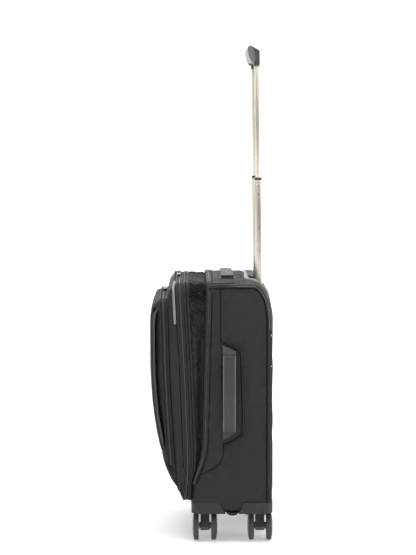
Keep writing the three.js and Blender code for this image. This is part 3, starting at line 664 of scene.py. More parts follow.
def side_panel(side, name, seams, recess):
    y, z = panel_grid()
    flat = np.stack([y.ravel(), z.ravel()], 1)
    d = distance_to(flat, OUTLINE)
    drop = np.where(d < EDGE, EDGE - np.sqrt(np.clip(EDGE**2 - (EDGE - d) ** 2, 0, None)), 0)
    gap = np.min([distance_to(flat, s) for s in seams], axis=0)
    swell = 1.2 * (1 - np.exp(-np.minimum(gap, d) / 14)) - 1.1 * np.exp(-((gap / 1.5) ** 2))
    x = HALF - drop + swell
    if recess:
        x -= 2.6 * in_recess(flat[:, 0], flat[:, 1])
    pts = np.stack([side * x, flat[:, 0], flat[:, 1]], 1).reshape(*y.shape, 3)
    ob = grid(name, pts, "shell", "case")

    def held(p):
        q = p[:, 1:]
        fixed = distance_to(q, OUTLINE) < EDGE
        for s in seams:
            fixed |= distance_to(q, s) < 2.4
        return fixed | (q[:, 0] < mouth(q[:, 1]) + 8)

    def slack(p, n):
        inner = np.clip(distance_to(p[:, 1:], OUTLINE) / 20, 0, 1)
        return 0.22 * fractal(p * (0.5, 1.0, 0.35), 30, 3 + side) * inner

    settle(ob, held, 0.25, 0.012, 1.6)
    displace(ob, slack)
    return ob


right_cloth = side_panel(1, "side_panel_right_cloth", [HIP, UP_SEAM, WELT], True)
left_cloth = side_panel(-1, "side_panel_left_cloth", [HIP, UP_SEAM, LOW_SEAM], False)
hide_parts("side_panel_right")
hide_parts("side_panel_left")


def on_side(line, side, lift=0.0):
    """A (Y, Z) line laid on a side panel, and its normals."""
    p = np.array([(side * (HALF + 0.9 + lift), y, z) for y, z in line], float)
    return p, same((side, 0, 0), len(p))


def shifted(line, d):
    t = np.gradient(line, axis=0)
    return line - d * outwards(t)


def side_seams(side, hand, lines, stitched):
    # Each line is drawn as a near-black strip of painted shade, for the shade in the seam's groove.
    for k, line in enumerate(lines):
        path, normals = on_side(resample(np.array(line), 3), side, -1.2)
        sweep("panel_seam_shade_%s_%d" % (hand, k), path, normals, oval(1.5, 1.6), "seam", "case")
    runs = [on_side(shifted(line, d), side, lift) for line, d, lift in stitched]
    stitches("panel_stitches_" + hand, runs, "case")


STITCHED = [(resample(UP_SEAM, 3), -3.0, -0.3), (HIP, 3.0, -0.4)]  # line, how far beside it, lift
recess_lines = [shifted(WELT, 2.1), shifted(WELT, -2.4), shifted(LOW_SEAM, -1.0)]
side_seams(1, "right", [UP_SEAM, HIP] + recess_lines, STITCHED + [(WELT, 8.0, -0.4)])
side_seams(-1, "left", [UP_SEAM, HIP, LOW_SEAM], STITCHED + [(resample(LOW_SEAM, 3), -3.0, -0.3)])
for k, d in enumerate((0.0, 4.2)):
    path, normals = on_side(shifted(WELT, d), 1, 0.2)
    sweep("recess_welt_%d" % k, path, normals, oval(3.2, 2.6, 10), "binding", "case")

# ---------------------------------------------------------------- wrap: top, back and base panels

FLAT_HALF = HALF - EDGE
ROUNDING = EDGE * np.sin(np.radians([9, 18, 27, 36, 45]))
ACROSS = np.concatenate([
    -FLAT_HALF - ROUNDING[::-1], np.linspace(-FLAT_HALF, FLAT_HALF, 84), FLAT_HALF + ROUNDING,
])


def nearest_row(y, z):
    return int(np.argmin(np.abs(OUTLINE[:, 0] - y) + np.abs(OUTLINE[:, 1] - z)))


TOP_END, BACK_END = nearest_row(76, TOP), nearest_row(BACK, 90)
TOP_CROWN = np.interp(OUTLINE[: TOP_END + 1, 0], [-11, 4, 22, 50, 62, 76], [-0.6, 0.4, 3.8, 4.6, 6.0, 5.4])
BACK_CROWN = np.interp(np.arange(BACK_END - TOP_END + 1), [0, 14, 30], [5.4, 3.0, 1.8])


def wrap_rows(s0, s1, across, crown):
    """Rows of the wrap between two places on the outline (row indices); crown is given row by row."""
    p, n = OUTLINE[s0:s1], OUT_NORMAL[s0:s1]
    crown = np.resize(crown, len(p))[:, None]
    over = np.clip(np.abs(across) - FLAT_HALF, 0, EDGE)
    drop = EDGE - np.sqrt(np.clip(EDGE**2 - over**2, 0, None))
    lift = crown * np.clip(1 - (across / 150) ** 2, 0, 1)[None] - drop[None]
    out = np.empty((len(p), len(across), 3))
    out[:, :, 0] = across[None]
    for axis in (0, 1):
        out[:, :, axis + 1] = p[:, None, axis] + n[:, None, axis] * lift
    return out


def wrap_panel(piece, s0, s1, crown, seed, swell=True):
    pts = wrap_rows(s0, s1 + 1, ACROSS, crown)
    ob = grid(piece + "_cloth", pts, "shell", "case")

    def held(p):
        ends = [np.abs(p[:, 1:] - pts[i, 0, 1:]).sum(1) < 9 for i in (0, -1)]
        return ends[0] | ends[1] | (np.abs(p[:, 0]) > FLAT_HALF)

    def slack(p, n):
        inner = np.clip((FLAT_HALF - np.abs(p[:, 0])) / 15, 0, 1)
        return 0.35 * fractal(p * (1.0, 1, 0.4), 30, seed) * inner

    if swell:
        settle(ob, held, 0.25, 0.010, 1.8)
    displace(ob, slack)
    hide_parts(piece)
    return ob


def cut_hole(ob, inside):
    bm = bmesh.new()
    bm.from_mesh(ob.data)
    gone = [f for f in bm.faces if inside(*[c / MM for c in f.calc_center_median()])]
    bmesh.ops.delete(bm, geom=gone, context="FACES")
    bm.to_mesh(ob.data)
    bm.free()


CUP_HOLE = dict(half=116, middle=97, radius=21.5)
HOUSING_TOP, HOUSING_IN, TONGUE_FRONT, TONGUE_REAR = 84.5, 74.0, 13.0, 70.0


def in_cup(x, y, z):
    past_end = max(0.0, abs(x) - (CUP_HOLE["half"] - CUP_HOLE["radius"]))
    return z > 480 and math.hypot(past_end, y - CUP_HOLE["middle"]) < CUP_HOLE["radius"]


def behind_housing(x, y, z):
    return z < HOUSING_TOP and abs(x) > HOUSING_IN and not TONGUE_FRONT < y < TONGUE_REAR


top_cloth = wrap_panel("top_panel", 0, TOP_END, TOP_CROWN, 5)
back_cloth = wrap_panel("back_panel", TOP_END, BACK_END, BACK_CROWN, 6)
base_cloth = wrap_panel("base_panel", BACK_END, len(OUTLINE) - 1, (0.5,), 7, swell=False)
for ob in (top_cloth, back_cloth):
    cut_hole(ob, in_cup)
for ob in (base_cloth, back_cloth, right_cloth, left_cloth):
    cut_hole(ob, behind_housing)

# ---------------------------------------------------------------- the edge round each side panel

EDGE_ROWS = [i for i in range(BACK_END + 3) if OUTLINE[i, 0] > -6 and OUTLINE[i, 1] > 86]
GUARDED = [i for i in EDGE_ROWS if OUTLINE[i, 0] > 38 and OUTLINE[i, 1] > 448]
ROLL = [
    (-4.4, -0.4), (-3.9, 1.2), (-2.2, 2.3), (0, 2.7), (2.2, 2.3), (3.9, 1.2), (4.4, -0.4), (0, -1.2),
]
GUARD = [
    (-4.5, -0.6), (-4.4, 1.9), (-3.8, 3.3), (-3.0, 3.6), (-2.2, 3.1), (-1.4, 1.9), (-0.5, 1.5), (0.5, 1.5),
    (1.4, 1.9), (2.2, 3.1), (3.0, 3.6), (3.8, 3.1), (4.4, 1.6), (4.5, -0.6), (0, -1.2),
]


def edge_path(side, rows, deep):
    """A line on the rounded edge, deep millimetres in from the side view's outline, and its normals."""
    drop = EDGE - math.sqrt(EDGE**2 - (EDGE - deep) ** 2)
    tilt = math.asin((EDGE - deep) / EDGE)
    n = OUT_NORMAL[rows]
    path = np.column_stack([np.full(len(rows), side * (HALF - drop)), OUTLINE[rows] - deep * n])
    normals = np.column_stack([np.full(len(rows), side * math.cos(tilt)), n * math.sin(tilt)])
    return path, normals


def bound_edge(side, hand):
    """A seam drawn as a near-black strip of painted shade for its groove, a soft roll outside it, and a
    moulded guard over the roll at the top rear corner.
    """
    path, normals = edge_path(side, EDGE_ROWS, 12.4)
    sweep("edge_seam_shade_" + hand, path + normals * 0.5, normals, oval(3.6, 1.3), "seam", "case")
    path, normals = edge_path(side, EDGE_ROWS, 6.6)
    taper = np.clip(0.3 + 0.7 * (path[:, 1] + 6) / 26, 0.3, 1)
    roll = sweep("edge_roll_" + hand, path, normals, ROLL, "shell", "case", level=1, taper=taper)
    ripple(roll, 0.3, 1.0, 15, 33)
    path, normals = edge_path(side, EDGE_ROWS, 1.6)
    sweep("edge_piping_" + hand, path, normals, oval(2.6, 2.2, 10), "binding", "case")
    path, normals = edge_path(side, GUARDED, 6.2)
    taper = 0.25 + 0.75 * np.sqrt(np.clip((path[:, 1] - 38) / 22, 0, 1))
    path += normals * 0.9
    name = "corner_guard_strip_" + hand
    strip = sweep(name, path, normals, GUARD, "guard", "case", taper=taper, level=1)
    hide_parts("corner_guard_" + hand)
    path, normals = edge_path(side, EDGE_ROWS, 13.9)
    path += normals * 0.6
    path[:, 1:] -= OUT_NORMAL[EDGE_ROWS] * 2.2
    stitches("edge_stitches_" + hand, [(path, normals)], "case")


for side, hand in SIDES:
    bound_edge(side, hand)

# ---------------------------------------------------------------- lining, seen when the lid is open

LINING_HALF, LINING_LOW, LINING_HIGH = 166.0, 91, 545


def case_lining():
    """Under the top panel, round the trolley cup, down the back and over the floor to the sill."""
    top = curve_through([(-9, LINING_HIGH), (40, LINING_HIGH), (74, LINING_HIGH)], 6)
    rest = [(75, 544), (76, 492), (87.5, 486), (87.5, 92), (87, LINING_LOW), (-36, LINING_LOW), (-37, 127)]
    path = np.vstack([top, resample(np.array(rest, float), 6)])
    x = np.linspace(-LINING_HALF, LINING_HALF, 70)
    rows = [np.column_stack([x, np.full(70, y), np.full(70, z)]) for y, z in path]
    ob = grid("case_lining", rows, "lining", "case")
    ripple(ob, 1.3, 1.0, 55, 21)
    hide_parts("back_lining")


def side_lining(side, hand):
    z = np.linspace(LINING_LOW, LINING_HIGH, 76)
    front = mouth(z) + np.interp(z, [128, 142, 165], [13, 9, 1])
    y = front[:, None] + (88 - front[:, None]) * np.linspace(0, 1, 24)[None]
    pts = np.stack([np.full_like(y, side * LINING_HALF), y, np.repeat(z[:, None], 24, 1)], 2)
    ob = grid("side_lining_" + hand, pts, "lining", "case")
    ripple(ob, 0.9, 1.0, 50, 30 + side)


case_lining()
for side, hand in SIDES:
    side_lining(side, hand)

# ---------------------------------------------------------------- the rim ridge and the expansion gusset

ARCH = arch(HALF, TOP, 28, 127, 3.0)
RIDGE = np.array([
    (-6.2, -2.5), (-6.0, 0.2), (-5, 1.8), (-3, 2.7), (-1.2, 2.9), (-0.4, 2.2), (0.4, 2.2), (1.2, 2.9),
    (3, 2.7), (5, 1.9), (6.0, 0.2), (6.2, -2.5),
])


def arch_3d(y_of_z, grow=0.0, source=ARCH):
    """A front-view arch placed at Y = y_of_z(z), and its outward normals."""
    p, n = source
    q = p + n * grow
    path = np.stack([q[:, 0], y_of_z(p[:, 1]), q[:, 1]], 1)
    return path, np.stack([n[:, 0], np.zeros(len(n)), n[:, 1]], 1)


def rim_middle(z):
    """The ridge follows the mouth, and is squeezed back behind the front frame at its foot."""
    return mouth(z) + np.interp(z, [125, 150, 185], [3.2, 4.4, 5.7])


def rim():
    path, normals = arch_3d(rim_middle, 0.6)
    squeeze = np.interp(path[:, 2], [127, 150, 190], [0.25, 0.6, 1.0])
    rows = []
    for p, n, k in zip(path, normals, squeeze):
        across, out = RIDGE[:, 0] * k, RIDGE[:, 1] * (0.3 + 0.7 * k)
        rows.append(p + np.outer(across, (0, 1, 0)) + np.outer(out, n))
    ridge = grid("mouth_rim_binding", rows, "rim", "case", loop=True, level=1)
    ripple(ridge, 0.35, 1.0, 9, 41)
    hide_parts("mouth_rim")
    stitches("rim_stitches", [(path + normals * 1.0 + (0, 5.2, 0), normals)], "case", width=0.6)
    # The rim's seams are near-black strips of painted shade along both sides of the ridge.
    path, normals = arch_3d(lambda z: rim_middle(z) + 6.9, 1.2)
    sweep("rim_seam_shade", path, normals, oval(2.0, 2.4), "seam", "case")
    path, normals = arch_3d(lambda z: rim_middle(z) - np.interp(z, [127, 190], [3.0, 6.6]), 0.4)
    sweep("rim_gusset_seam_shade", path, normals, oval(1.8, 2.0), "seam", "case")


GUSSET_HALF, GUSSET_TOP, GUSSET_CORNER, GUSSET_FOOT = 166.0, 545.5, 24.0, 130.0
GUSSET_RISE = ((0, 0.12, 0.3, 0.48, 0.62, 0.75, 0.88, 1.0), (-0.5, -6.5, -8.0, -6.0, -1.0, 1.0, 0.5, -0.5))


def refine(ob):
    """One level of subdivision, made part of the mesh."""
    soften(ob)
    mesh = bpy.data.meshes.new_from_object(ob.evaluated_get(bpy.context.evaluated_depsgraph_get()))
    ob.modifiers.clear()
    ob.data = mesh


def round_arch(p):
    """How far each point is round the gusset's arch, the same on both sides."""
    x, z = np.abs(p[:, 0]) - (GUSSET_HALF - GUSSET_CORNER), p[:, 2] - (GUSSET_TOP - GUSSET_CORNER)
    turned = np.arctan2(np.maximum(z, 0), np.maximum(x, 1e-6)) * GUSSET_CORNER
    return np.where(z < 0, z, turned - np.minimum(x, 0))


def folds(s, pitch, power):
    return (1 - np.abs(np.sin(math.pi * (s / pitch)))) ** power


def gathers(p, n):
    """Gathers run across the strip: close and sharp round the corners, then wide and slack below them."""
    s = round_arch(p)
    between = np.minimum(mouth(p[:, 2]) - p[:, 1], p[:, 1] - frame_back(p[:, 2]))
    wander = 0.9 * fractal(p * (0.5, 1.0, 0.5), 26, 51) + 0.05 * (p[:, 1] + 30)
    close = np.clip((s + 26) / 20, 0, 1) * np.clip((75 - s) / 35, 0, 1)
    slack = np.clip((s + 105) / 50, 0, 1) * np.clip((-12 - s) / 20, 0, 1)
    sharp = 8.6 * folds(s + 8.2 * 1.2 * wander, 8.2, 0.9) - 5.6
    wide = 5.4 * folds(s + 17.0 * 1.3 * wander, 17.0, 1.1) - 2.4
    lumps = (0.4 + 1.3 * slack) * fractal(p * (1.0, 0.4, 1.0), 9, 52)
    return np.clip(between / 4, 0, 1) * (close * sharp + slack * wide + lumps)


def gusset():
    """A strip of thin cloth, longer across than the gap it closes, so that it lies in a fold by the frame
    and sinks in behind the rim; round the top corners it is gathered."""
    p, n = arch(GUSSET_HALF, GUSSET_TOP, GUSSET_CORNER, GUSSET_FOOT, 2.4)
    v = np.linspace(0, 1, 17)
    y0, y1 = mouth(p[:, 1]) + 2.0, frame_back(p[:, 1]) - 3.0
    rise = np.interp(v, *GUSSET_RISE)
    high = np.clip((p[:, 1] - 440) / 80, 0, 1)
    rows = []
    for i in range(len(p)):
        out = rise * min(1.0, (y0[i] - y1[i]) / 20) * (1 - 0.9 * high[i])
        q = p[i] + np.outer(out, n[i])
        rows.append(np.column_stack([q[:, 0], y0[i] + (y1[i] - y0[i]) * v, q[:, 1]]))
    ob = grid("expansion_gusset_cloth", rows, "gusset", None)

    def held(q):
        return (q[:, 1] > mouth(q[:, 2]) - 1.0) | (q[:, 1] < frame_back(q[:, 2]) + 1.0)

    settle(ob, held, -0.2, 0.08, 3.0, frames=24, stiff=12, bend=0.3)
    refine(ob)
    displace(ob, gathers)
    return ob


def sill_flap():
    """Below the sill the frame lies against the case, over a flap of the same thin cloth, coloured near-black
    with the seams' painted-shade material for the shade under the frame.
    """
    x, z = np.meshgrid(np.linspace(-163, 163, 60), np.linspace(93, 134, 12))
    pts = np.stack([x, -42.3 + 0.25 * np.sin(x / 19) * np.cos(z / 9), z], 2)
    ob = grid("sill_flap", pts, "seam", "case", slot="gusset_fabric")
    solid = ob.modifiers.new("thick", "SOLIDIFY")
    solid.thickness = 1.4 * MM
    solid.offset = 0


rim()
gusset_ob = gusset()
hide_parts("expansion_gusset")
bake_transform(gusset_ob)
sill_flap()

# ---------------------------------------------------------------- front frame and lid

LID = dict(half=170.0, low=90.0, high=547.5, radius=28.0, foot=15.0)
# The second section is that of the near-black strips of painted shade laid in the seams' grooves.
CORD, GROOVE_SHADE = oval(2.6, 2.2, 10), oval(2.0, 1.3)
FRAME_PROFILE = (  # share of the way from the zip to the gusset, and millimetres in
    (0.0, 2.0), (0.02, 0.4), (0.2, 0.0), (0.38, 0.2), (0.44, 1.0), (0.5, -1.2), (0.58, -2.2), (0.66, -1.6),
    (0.72, 0.6), (0.78, -1.5), (0.86, -2.6), (0.94, -1.9), (0.98, -0.6), (1.0, 0.8),
    (1.0, 3.5), (0.9, 6.0), (0.5, 6.0), (0.1, 6.0), (0.0, 4.0),
)


def lid_ring(inset, y_of_z, crown=None, ring=LID):
    """A ring of the lid's front view, moved in by inset, at Y = y_of_z(z), or crown(x, z); its normals."""
    radii = ring["radius"] - inset, ring["foot"] - inset
    p, n = rounded_ring(ring["half"] - inset, ring["low"] + inset, ring["high"] - inset, *radii, 320)
    y = y_of_z(p[:, 1]) if crown is None else crown(p[:, 0], p[:, 1])
    return np.stack([p[:, 0], y, p[:, 1]], 1), np.stack([n[:, 0], np.zeros(len(n)), n[:, 1]], 1)


def lerp(f, g, v):
    return lambda z: f(z) * (1 - v) + g(z) * v


def frame_band():
    """The front frame's outside: a zip tape, then two soft folds to the gusset; then its inside."""
    rows = []
    for v, inset in FRAME_PROFILE:
        rows.append(lid_ring(inset, lambda z, v=v: lerp(zip_line, frame_back, v)(z) + 0.5 * (1 - v))[0])
    rows.append(rows[0])
    ob = grid("front_frame_binding", rows, "shell", "front_frame", loop=True, level=1)
    ripple(ob, 0.7, (0.7, 1.6, 0.7), 14, 61)
    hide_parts("front_frame")


def ring_sweep(name, y_of_z, section, material, body, grow=0.0):
    path, normals = lid_ring(-grow, y_of_z)
    return sweep(name, path, normals, section, material, body, loop=True)


def tape_ring(name, y0, y1, inset, body):
    steps = ((0, 0.5), (0.04, 0), (0.5, 0), (0.96, 0), (1, 0.5))
    grid(name, [lid_ring(inset + k, lerp(y0, y1, v))[0] for v, k in steps], "tape", body, loop=True)


def before_zip(offset):
    """A line on the lid's wall, offset in front of the zip, drawn together where the lid is thin."""
    return lambda z: zip_line(z) - offset * np.clip((zip_line(z) - lid_front(z)) / 13, 0.2, 1)


def behind_zip(offset):
    return lambda z: zip_line(z) + offset


def seams_by_zip():
    # The seam rows and the zip's shade row are near-black strips of painted shade in the grooves beside the
    # zip.
    ring_sweep("frame_seam_shade", lerp(zip_line, frame_back, 0.72), GROOVE_SHADE, "seam", "front_frame", 0.4)
    ring_sweep("frame_piping", lerp(zip_line, frame_back, 0.55), CORD, "binding", "front_frame", 0.9)
    stitches("frame_stitches", [lid_ring(0.2, lerp(zip_line, frame_back, 0.4))], "front_frame")
    rear = behind_zip(1.6), lerp(zip_line, frame_back, 0.36)
    tape_ring("main_zip_tape_rear", *rear, -0.25, "front_frame")
    tape_ring("main_zip_tape_front", before_zip(5.6), before_zip(0.4), -0.35, "lid")
    ring_sweep("main_zip_coil", behind_zip(0.5), oval(2.6, 2.0), "coil", "lid", 0.3)
    ring_sweep("main_zip_shade", behind_zip(1.9), oval(1.4, 0.8), "seam", "front_frame", 0.25)
    ring_sweep("lid_zip_piping", before_zip(7.2), CORD, "binding", "lid", 0.5)
    ring_sweep("lid_zip_seam_shade", before_zip(9.6), GROOVE_SHADE, "seam", "lid")
    stitches("lid_stitches", [lid_ring(0.3, before_zip(11.6))], "lid")


def closed(rows):
    """Rings moving in, with a last row that draws the hole in their middle shut."""
    return rows + [rows[-1] * (0, 1, 1)]


def lid_cloth():
    def rounding(z):
        return np.minimum(8, 0.6 * (zip_line(z) - lid_front(z)))

    rows = []
    for v in np.linspace(0, 1, 9):
        wall = lerp(zip_line, lambda z: lid_front(z) + rounding(z), v)
        rows.append(lid_ring(0.9 * (1 - math.sin(math.pi * v)), wall)[0])
    for a in np.radians([15, 30, 45, 60, 75, 90]):
        back = 1 - math.sin(a)
        edge = lid_ring(0.9 + 8 * (1 - math.cos(a)), lambda z, k=back: lid_front(z) + rounding(z) * k)
        rows.append(edge[0])
    rows += [lid_ring(inset, lid_front)[0] for inset in np.linspace(11, 169.4, 34)]
    ob = grid("lid_cloth", closed(rows), "shell", "lid", loop=True)
    ripple(ob, 0.5, (0.6, 1.4, 0.4), 22, 71)
    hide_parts("lid_shell")


def lid_lining():
    def inside(depth):
        return lambda z: np.minimum(lid_front(z) + depth, zip_line(z) - 7)

    rows = [lid_ring(i, y)[0] for i, y in ((5, behind_zip(0.3)), (5.5, behind_zip(-6)), (6, inside(9)))]
    rows += [lid_ring(i, inside(6))[0] for i in np.linspace(10, 169.4, 34)]
    ob = grid("lid_lining", closed(rows), "lining", "lid", loop=True)
    displace(ob, lambda p, n: 1.2 * fractal(p, 50, 73) * (np.abs(p[:, 0]) < 150))
    grid("lid_hem", [lid_ring(i, behind_zip(0.2))[0] for i in (0.8, 2.5, 5.0)], "binding", "lid", loop=True)


frame_band()
seams_by_zip()
lid_cloth()
lid_lining()

# ---------------------------------------------------------------- front pocket and slip pocket

POCKET = dict(half=163.0, low=103.0, high=513.5, radius=26.0, foot=18.0)
SLIP = dict(left=-151.0, right=160.0, low=198.0, high=497.0, depth=15.0, panel=5.0, corner=16.0)
SLIP_STITCHES = dict(left=-144.0, right=150.0, low=206.0, high=490.0, corner=10.0)
HEM_LIPS = [
    (-4.3, -0.4), (-4.0, 1.0), (-2.8, 1.7), (-1.2, 1.5), (0.6, 1.3), (2.0, 1.6),
    (2.8, 2.4), (3.8, 2.3), (4.4, 1.2), (4.3, -0.2), (2.5, -1.0), (-2.5, -1.2),
]


def slip_mask(x, z):
    """1 behind the slip pocket's panel, 0 elsewhere; it runs out at the right side."""
    edge = np.minimum(x - SLIP["left"], np.minimum(z - SLIP["low"] - 2, SLIP["high"] - 2 - z))
    s = np.clip(edge / 7, 0, 1)
    return s * s * (3 - 2 * s) * np.interp(x, [118, 150], [0.5, 1.0])


def pocket_rows():
    """From the wall's foot on the lid, over the rounded edge, and in over the front."""
    def front(x, z):
        return pocket_front(z) + SLIP["depth"] * slip_mask(x, z)

    def edge(x, z):
        return front(x, z) + np.interp(z, [103, 150, 215], [1.5, 5.0, 11.0])

    def wall(v):
        def y(x, z):
            start = lid_front(z) - 0.5
            return start * (1 - v) + np.minimum(edge(x, z), start - 1.2) * v
        return y

    def fillet(a):
        def y(x, z):
            base = np.minimum(edge(x, z), lid_front(z) - 1.7)
            return base + (front(x, z) - base) * math.sin(a)
        return y

    def dished(inset):
        return lambda x, z: front(x, z) - 0.8 * (1 - math.exp(-(inset - 11) / 30))

    shares = np.linspace(0, 1, 11)
    rings = [(1.6 - 1.6 * math.sin(math.pi * min(1, v + 0.15)) ** 0.6, wall(v)) for v in shares]
    rings += [(8.0 * (1 - math.cos(a)), fillet(a)) for a in np.radians([10, 22, 34, 46, 58, 70, 80, 90])]
    rings += [(inset, dished(inset)) for inset in np.linspace(14, 162.4, 34)]
    return [lid_ring(inset, None, crown=y, ring=POCKET)[0] for inset, y in rings]


def pocket_cloth():
    ob = grid("front_pocket_cloth", pocket_rows(), "pocket", "lid", loop=True)

    def held(q):
        root = np.abs(q[:, 1] - (lid_front(q[:, 2]) - 0.5)) < 2.0
        return root | (slip_mask(q[:, 0], q[:, 2]) > 0.05)

    settle(ob, held, 0.35, 0.018, 2.6)
    ripple(ob, 0.6, (0.8, 1.2, 0.5), 22, 81)
    soften(ob)
    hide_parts("front_pocket")


def slip_row(z, from_end):
    """One level of the slip pocket's panel: along its front, round its open edge, and back behind."""
    right, corner = SLIP["right"], SLIP["corner"]
    cut = corner - math.sqrt(max(0.0, corner**2 - max(0.0, corner - from_end) ** 2))
    left = SLIP["left"] - 3 + cut
    thin = min(1.0, 0.25 + from_end / 9)
    xs = np.linspace(left, right, 60)
    dish = 1.3 * np.sin(np.pi * np.clip((xs - left) / (right - left), 0, 1)) ** 0.5
    pull_in = np.where(xs - left < 8, (1 - (xs - left) / 8) ** 2 * 2.5, 0)
    front = pocket_front(z) + 1.2 * (1 - thin) - dish * thin + pull_in
    back = pocket_front(z) + 1.0 + (SLIP["panel"] - 1.0) * thin
    middle = pocket_front(z) + SLIP["panel"] * 0.5
    bend = [(right + 3.0 * math.sin(a), middle - 2.6 * math.cos(a)) for a in np.radians(range(30, 151, 30))]
    return [(x, y, z) for x, y in [*zip(xs, front), *bend, *((x, back) for x in xs[::-1])]]


def slip_cloth():
    """A padded panel sewn down on three sides and open on the right."""
    zs = np.linspace(SLIP["low"] - 1, SLIP["high"] + 1, 76)
    rows = [slip_row(z, min(z - zs[0], zs[-1] - z)) for z in zs]
    ob = grid("slip_pocket_cloth", rows, "pocket", "lid", loop=True)

    def held(q):
        edge = np.minimum(q[:, 0] - SLIP["left"], np.minimum(q[:, 2] - SLIP["low"], SLIP["high"] - q[:, 2]))
        return (edge < 6) | (q[:, 0] > SLIP["right"] - 4)

    settle(ob, held, 0.0, 0.010, 1.4)
    ripple(ob, 0.45, (0.8, 1.2, 0.5), 24, 91)
    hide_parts("slip_pocket_panel")


def slip_hem():
    """The bound hem of the open side, which leans back at both ends."""
    zs = np.linspace(SLIP["low"] + 2, SLIP["high"] - 1, 90)
    high = np.clip((zs - (SLIP["high"] - 34)) / 33, 0, 1) ** 1.7 * 8.5
    low = np.clip((SLIP["low"] + 14 - zs) / 12, 0, 1) ** 2 * 2.0
    path = np.column_stack([np.full(90, SLIP["right"] + 1), pocket_front(zs) + 4.4 + high + low, zs])
    taper = np.clip(np.minimum(zs[-1] - zs, zs - zs[0]) / 22, 0.12, 1) ** 0.5
    sweep("slip_pocket_hem", path, same((1.0, -0.12, 0), 90), HEM_LIPS, "hem", "lid", taper=taper)


def slip_stitches():
    left, right, low, high, r = (SLIP_STITCHES[k] for k in ("left", "right", "low", "high", "corner"))
    border = [(x, low) for x in np.linspace(right, left + r, 80)]
    border += turn(left + r, low + r, r, r, -105, -15, 5)
    border += [(left, z) for z in np.linspace(low + r, high - r, 80)]
    border += turn(left + r, high - r, r, r, 165, -15, 5)
    border += [(x, high) for x in np.linspace(left + r, right, 80)]
    seam = np.array([(x, pocket_front(z) - 1.1, z) for x, z in border])
    stitches("slip_pocket_stitches", [(seam, same((0, -1.0, 0), len(seam)))], "lid")


POCKET_ZIP = 9.5  # in front of the lid
POCKET_ARCH = arch(POCKET["half"], POCKET["high"], POCKET["radius"], 165.0, 3.0)
POCKET_LINES = (  # name, offset behind the lid's front, how far out, section, material
    ("pocket_zip_coil", -POCKET_ZIP, 0.7, oval(2.2, 1.8), "coil"),
    # The two seam rows are near-black strips of painted shade along the pocket's seams.
    ("pocket_front_seam_shade", -POCKET_ZIP - 4.6, 0.2, GROOVE_SHADE, "seam"),
    ("pocket_front_piping", -POCKET_ZIP - 6.6, 0.6, CORD, "binding"),
    ("pocket_root_piping", -2.6, 0.9, oval(3.0, 2.6, 10), "binding"),
    ("pocket_root_seam_shade", -0.6, 0.6, oval(2.6, 1.6), "seam"),
)


def on_pocket(offset, grow):
    """Round the pocket's wall, offset behind the lid's front face."""
    return arch_3d(lambda z: lid_front(np.minimum(z, 505)) + offset, grow, POCKET_ARCH)


def pocket_zip():
    """The pocket's zip runs round its wall, a little in front of the lid, between two seams."""
    for name, a, b in (("pocket_zip_tape_rear", -3.8, -0.9), ("pocket_zip_tape_front", 0.9, 3.8)):
        steps = ((a, 0.2), (a + 0.3, 0.9), (b - 0.3, 0.9), (b, 0.2))
        grid(name, [on_pocket(k - POCKET_ZIP, grow)[0] for k, grow in steps], "tape", "lid")
    for name, offset, grow, section, material in POCKET_LINES:
        sweep(name, *on_pocket(offset, grow), section, material, "lid")


LID_STRIP = [
    (-2.6, -0.8), (-2.5, 0.6), (-1.9, 1.5), (-1.1, 2.1), (0, 2.3),
    (1.1, 2.1), (1.9, 1.5), (2.5, 0.6), (2.6, -0.8), (0, -1.2),
]


def lid_side_trim(side, hand):
    """The slanting seam, a near-black strip of painted shade, and the tab at the wall's foot, and a moulded
    strip at the lid's top corner whose light grey colour is a painted highlight.
    """
    foot = [(side * 164.0, -96.0, 168.0), (side * 164.2, -84.0, 158.0), (side * 164.4, -70.0, 146.0)]
    tab = [(side * 170.9, -60.5, 118.0), (side * 171.0, -61.0, 160.0)]
    for name, line, step, section, material in (
        ("pocket_foot_seam_shade_", foot, 2.5, oval(1.8, 1.2), "seam"),
        ("lid_tab_", tab, 3, oval(4.6, 1.4, 10), "rim"),
    ):
        path = resample(np.array(line), step)
        sweep(name + hand, path, same((side, 0, 0), len(path)), section, material, "lid")
    p, n = arch(LID["half"], LID["high"], LID["radius"], 463, 2.5)
    keep = side * p[:, 0] > 141
    p, n = p[keep], n[keep]
    y = zip_line(p[:, 1]) - 13.2 + np.clip((p[:, 1] - 535) / 12, 0, 1) ** 2 * 3.0
    out = np.stack([n[:, 0], np.full(len(n), -0.1), n[:, 1]], 1)
    path = np.stack([p[:, 0], y, p[:, 1]], 1) + out * 0.5
    # The light grey strip is a painted highlight along the glossy corner strip.
    sweep("lid_guard_strip_" + hand, path, out, LID_STRIP, "bright", "lid")


pocket_cloth()
slip_cloth()
slip_hem()
slip_stitches()
pocket_zip()
for side, hand in SIDES:
    lid_side_trim(side, hand)

# ---------------------------------------------------------------- carry handles

STRAP_WIDTH, STRAP_UNDER = 28.0, 6.0  # across, and the hand's room under it
TAB_SECTION = (
    (-1.2, -9.4), (1.2, -9.4), (1.7, -8.6), (1.7, 8.6), (1.2, 9.4), (-1.2, 9.4), (-1.7, 8.6), (-1.7, -8.6),
)


def strap_thickness(half, a):
    return 4.4 + 1.7 * (1 - (a / half) ** 2)


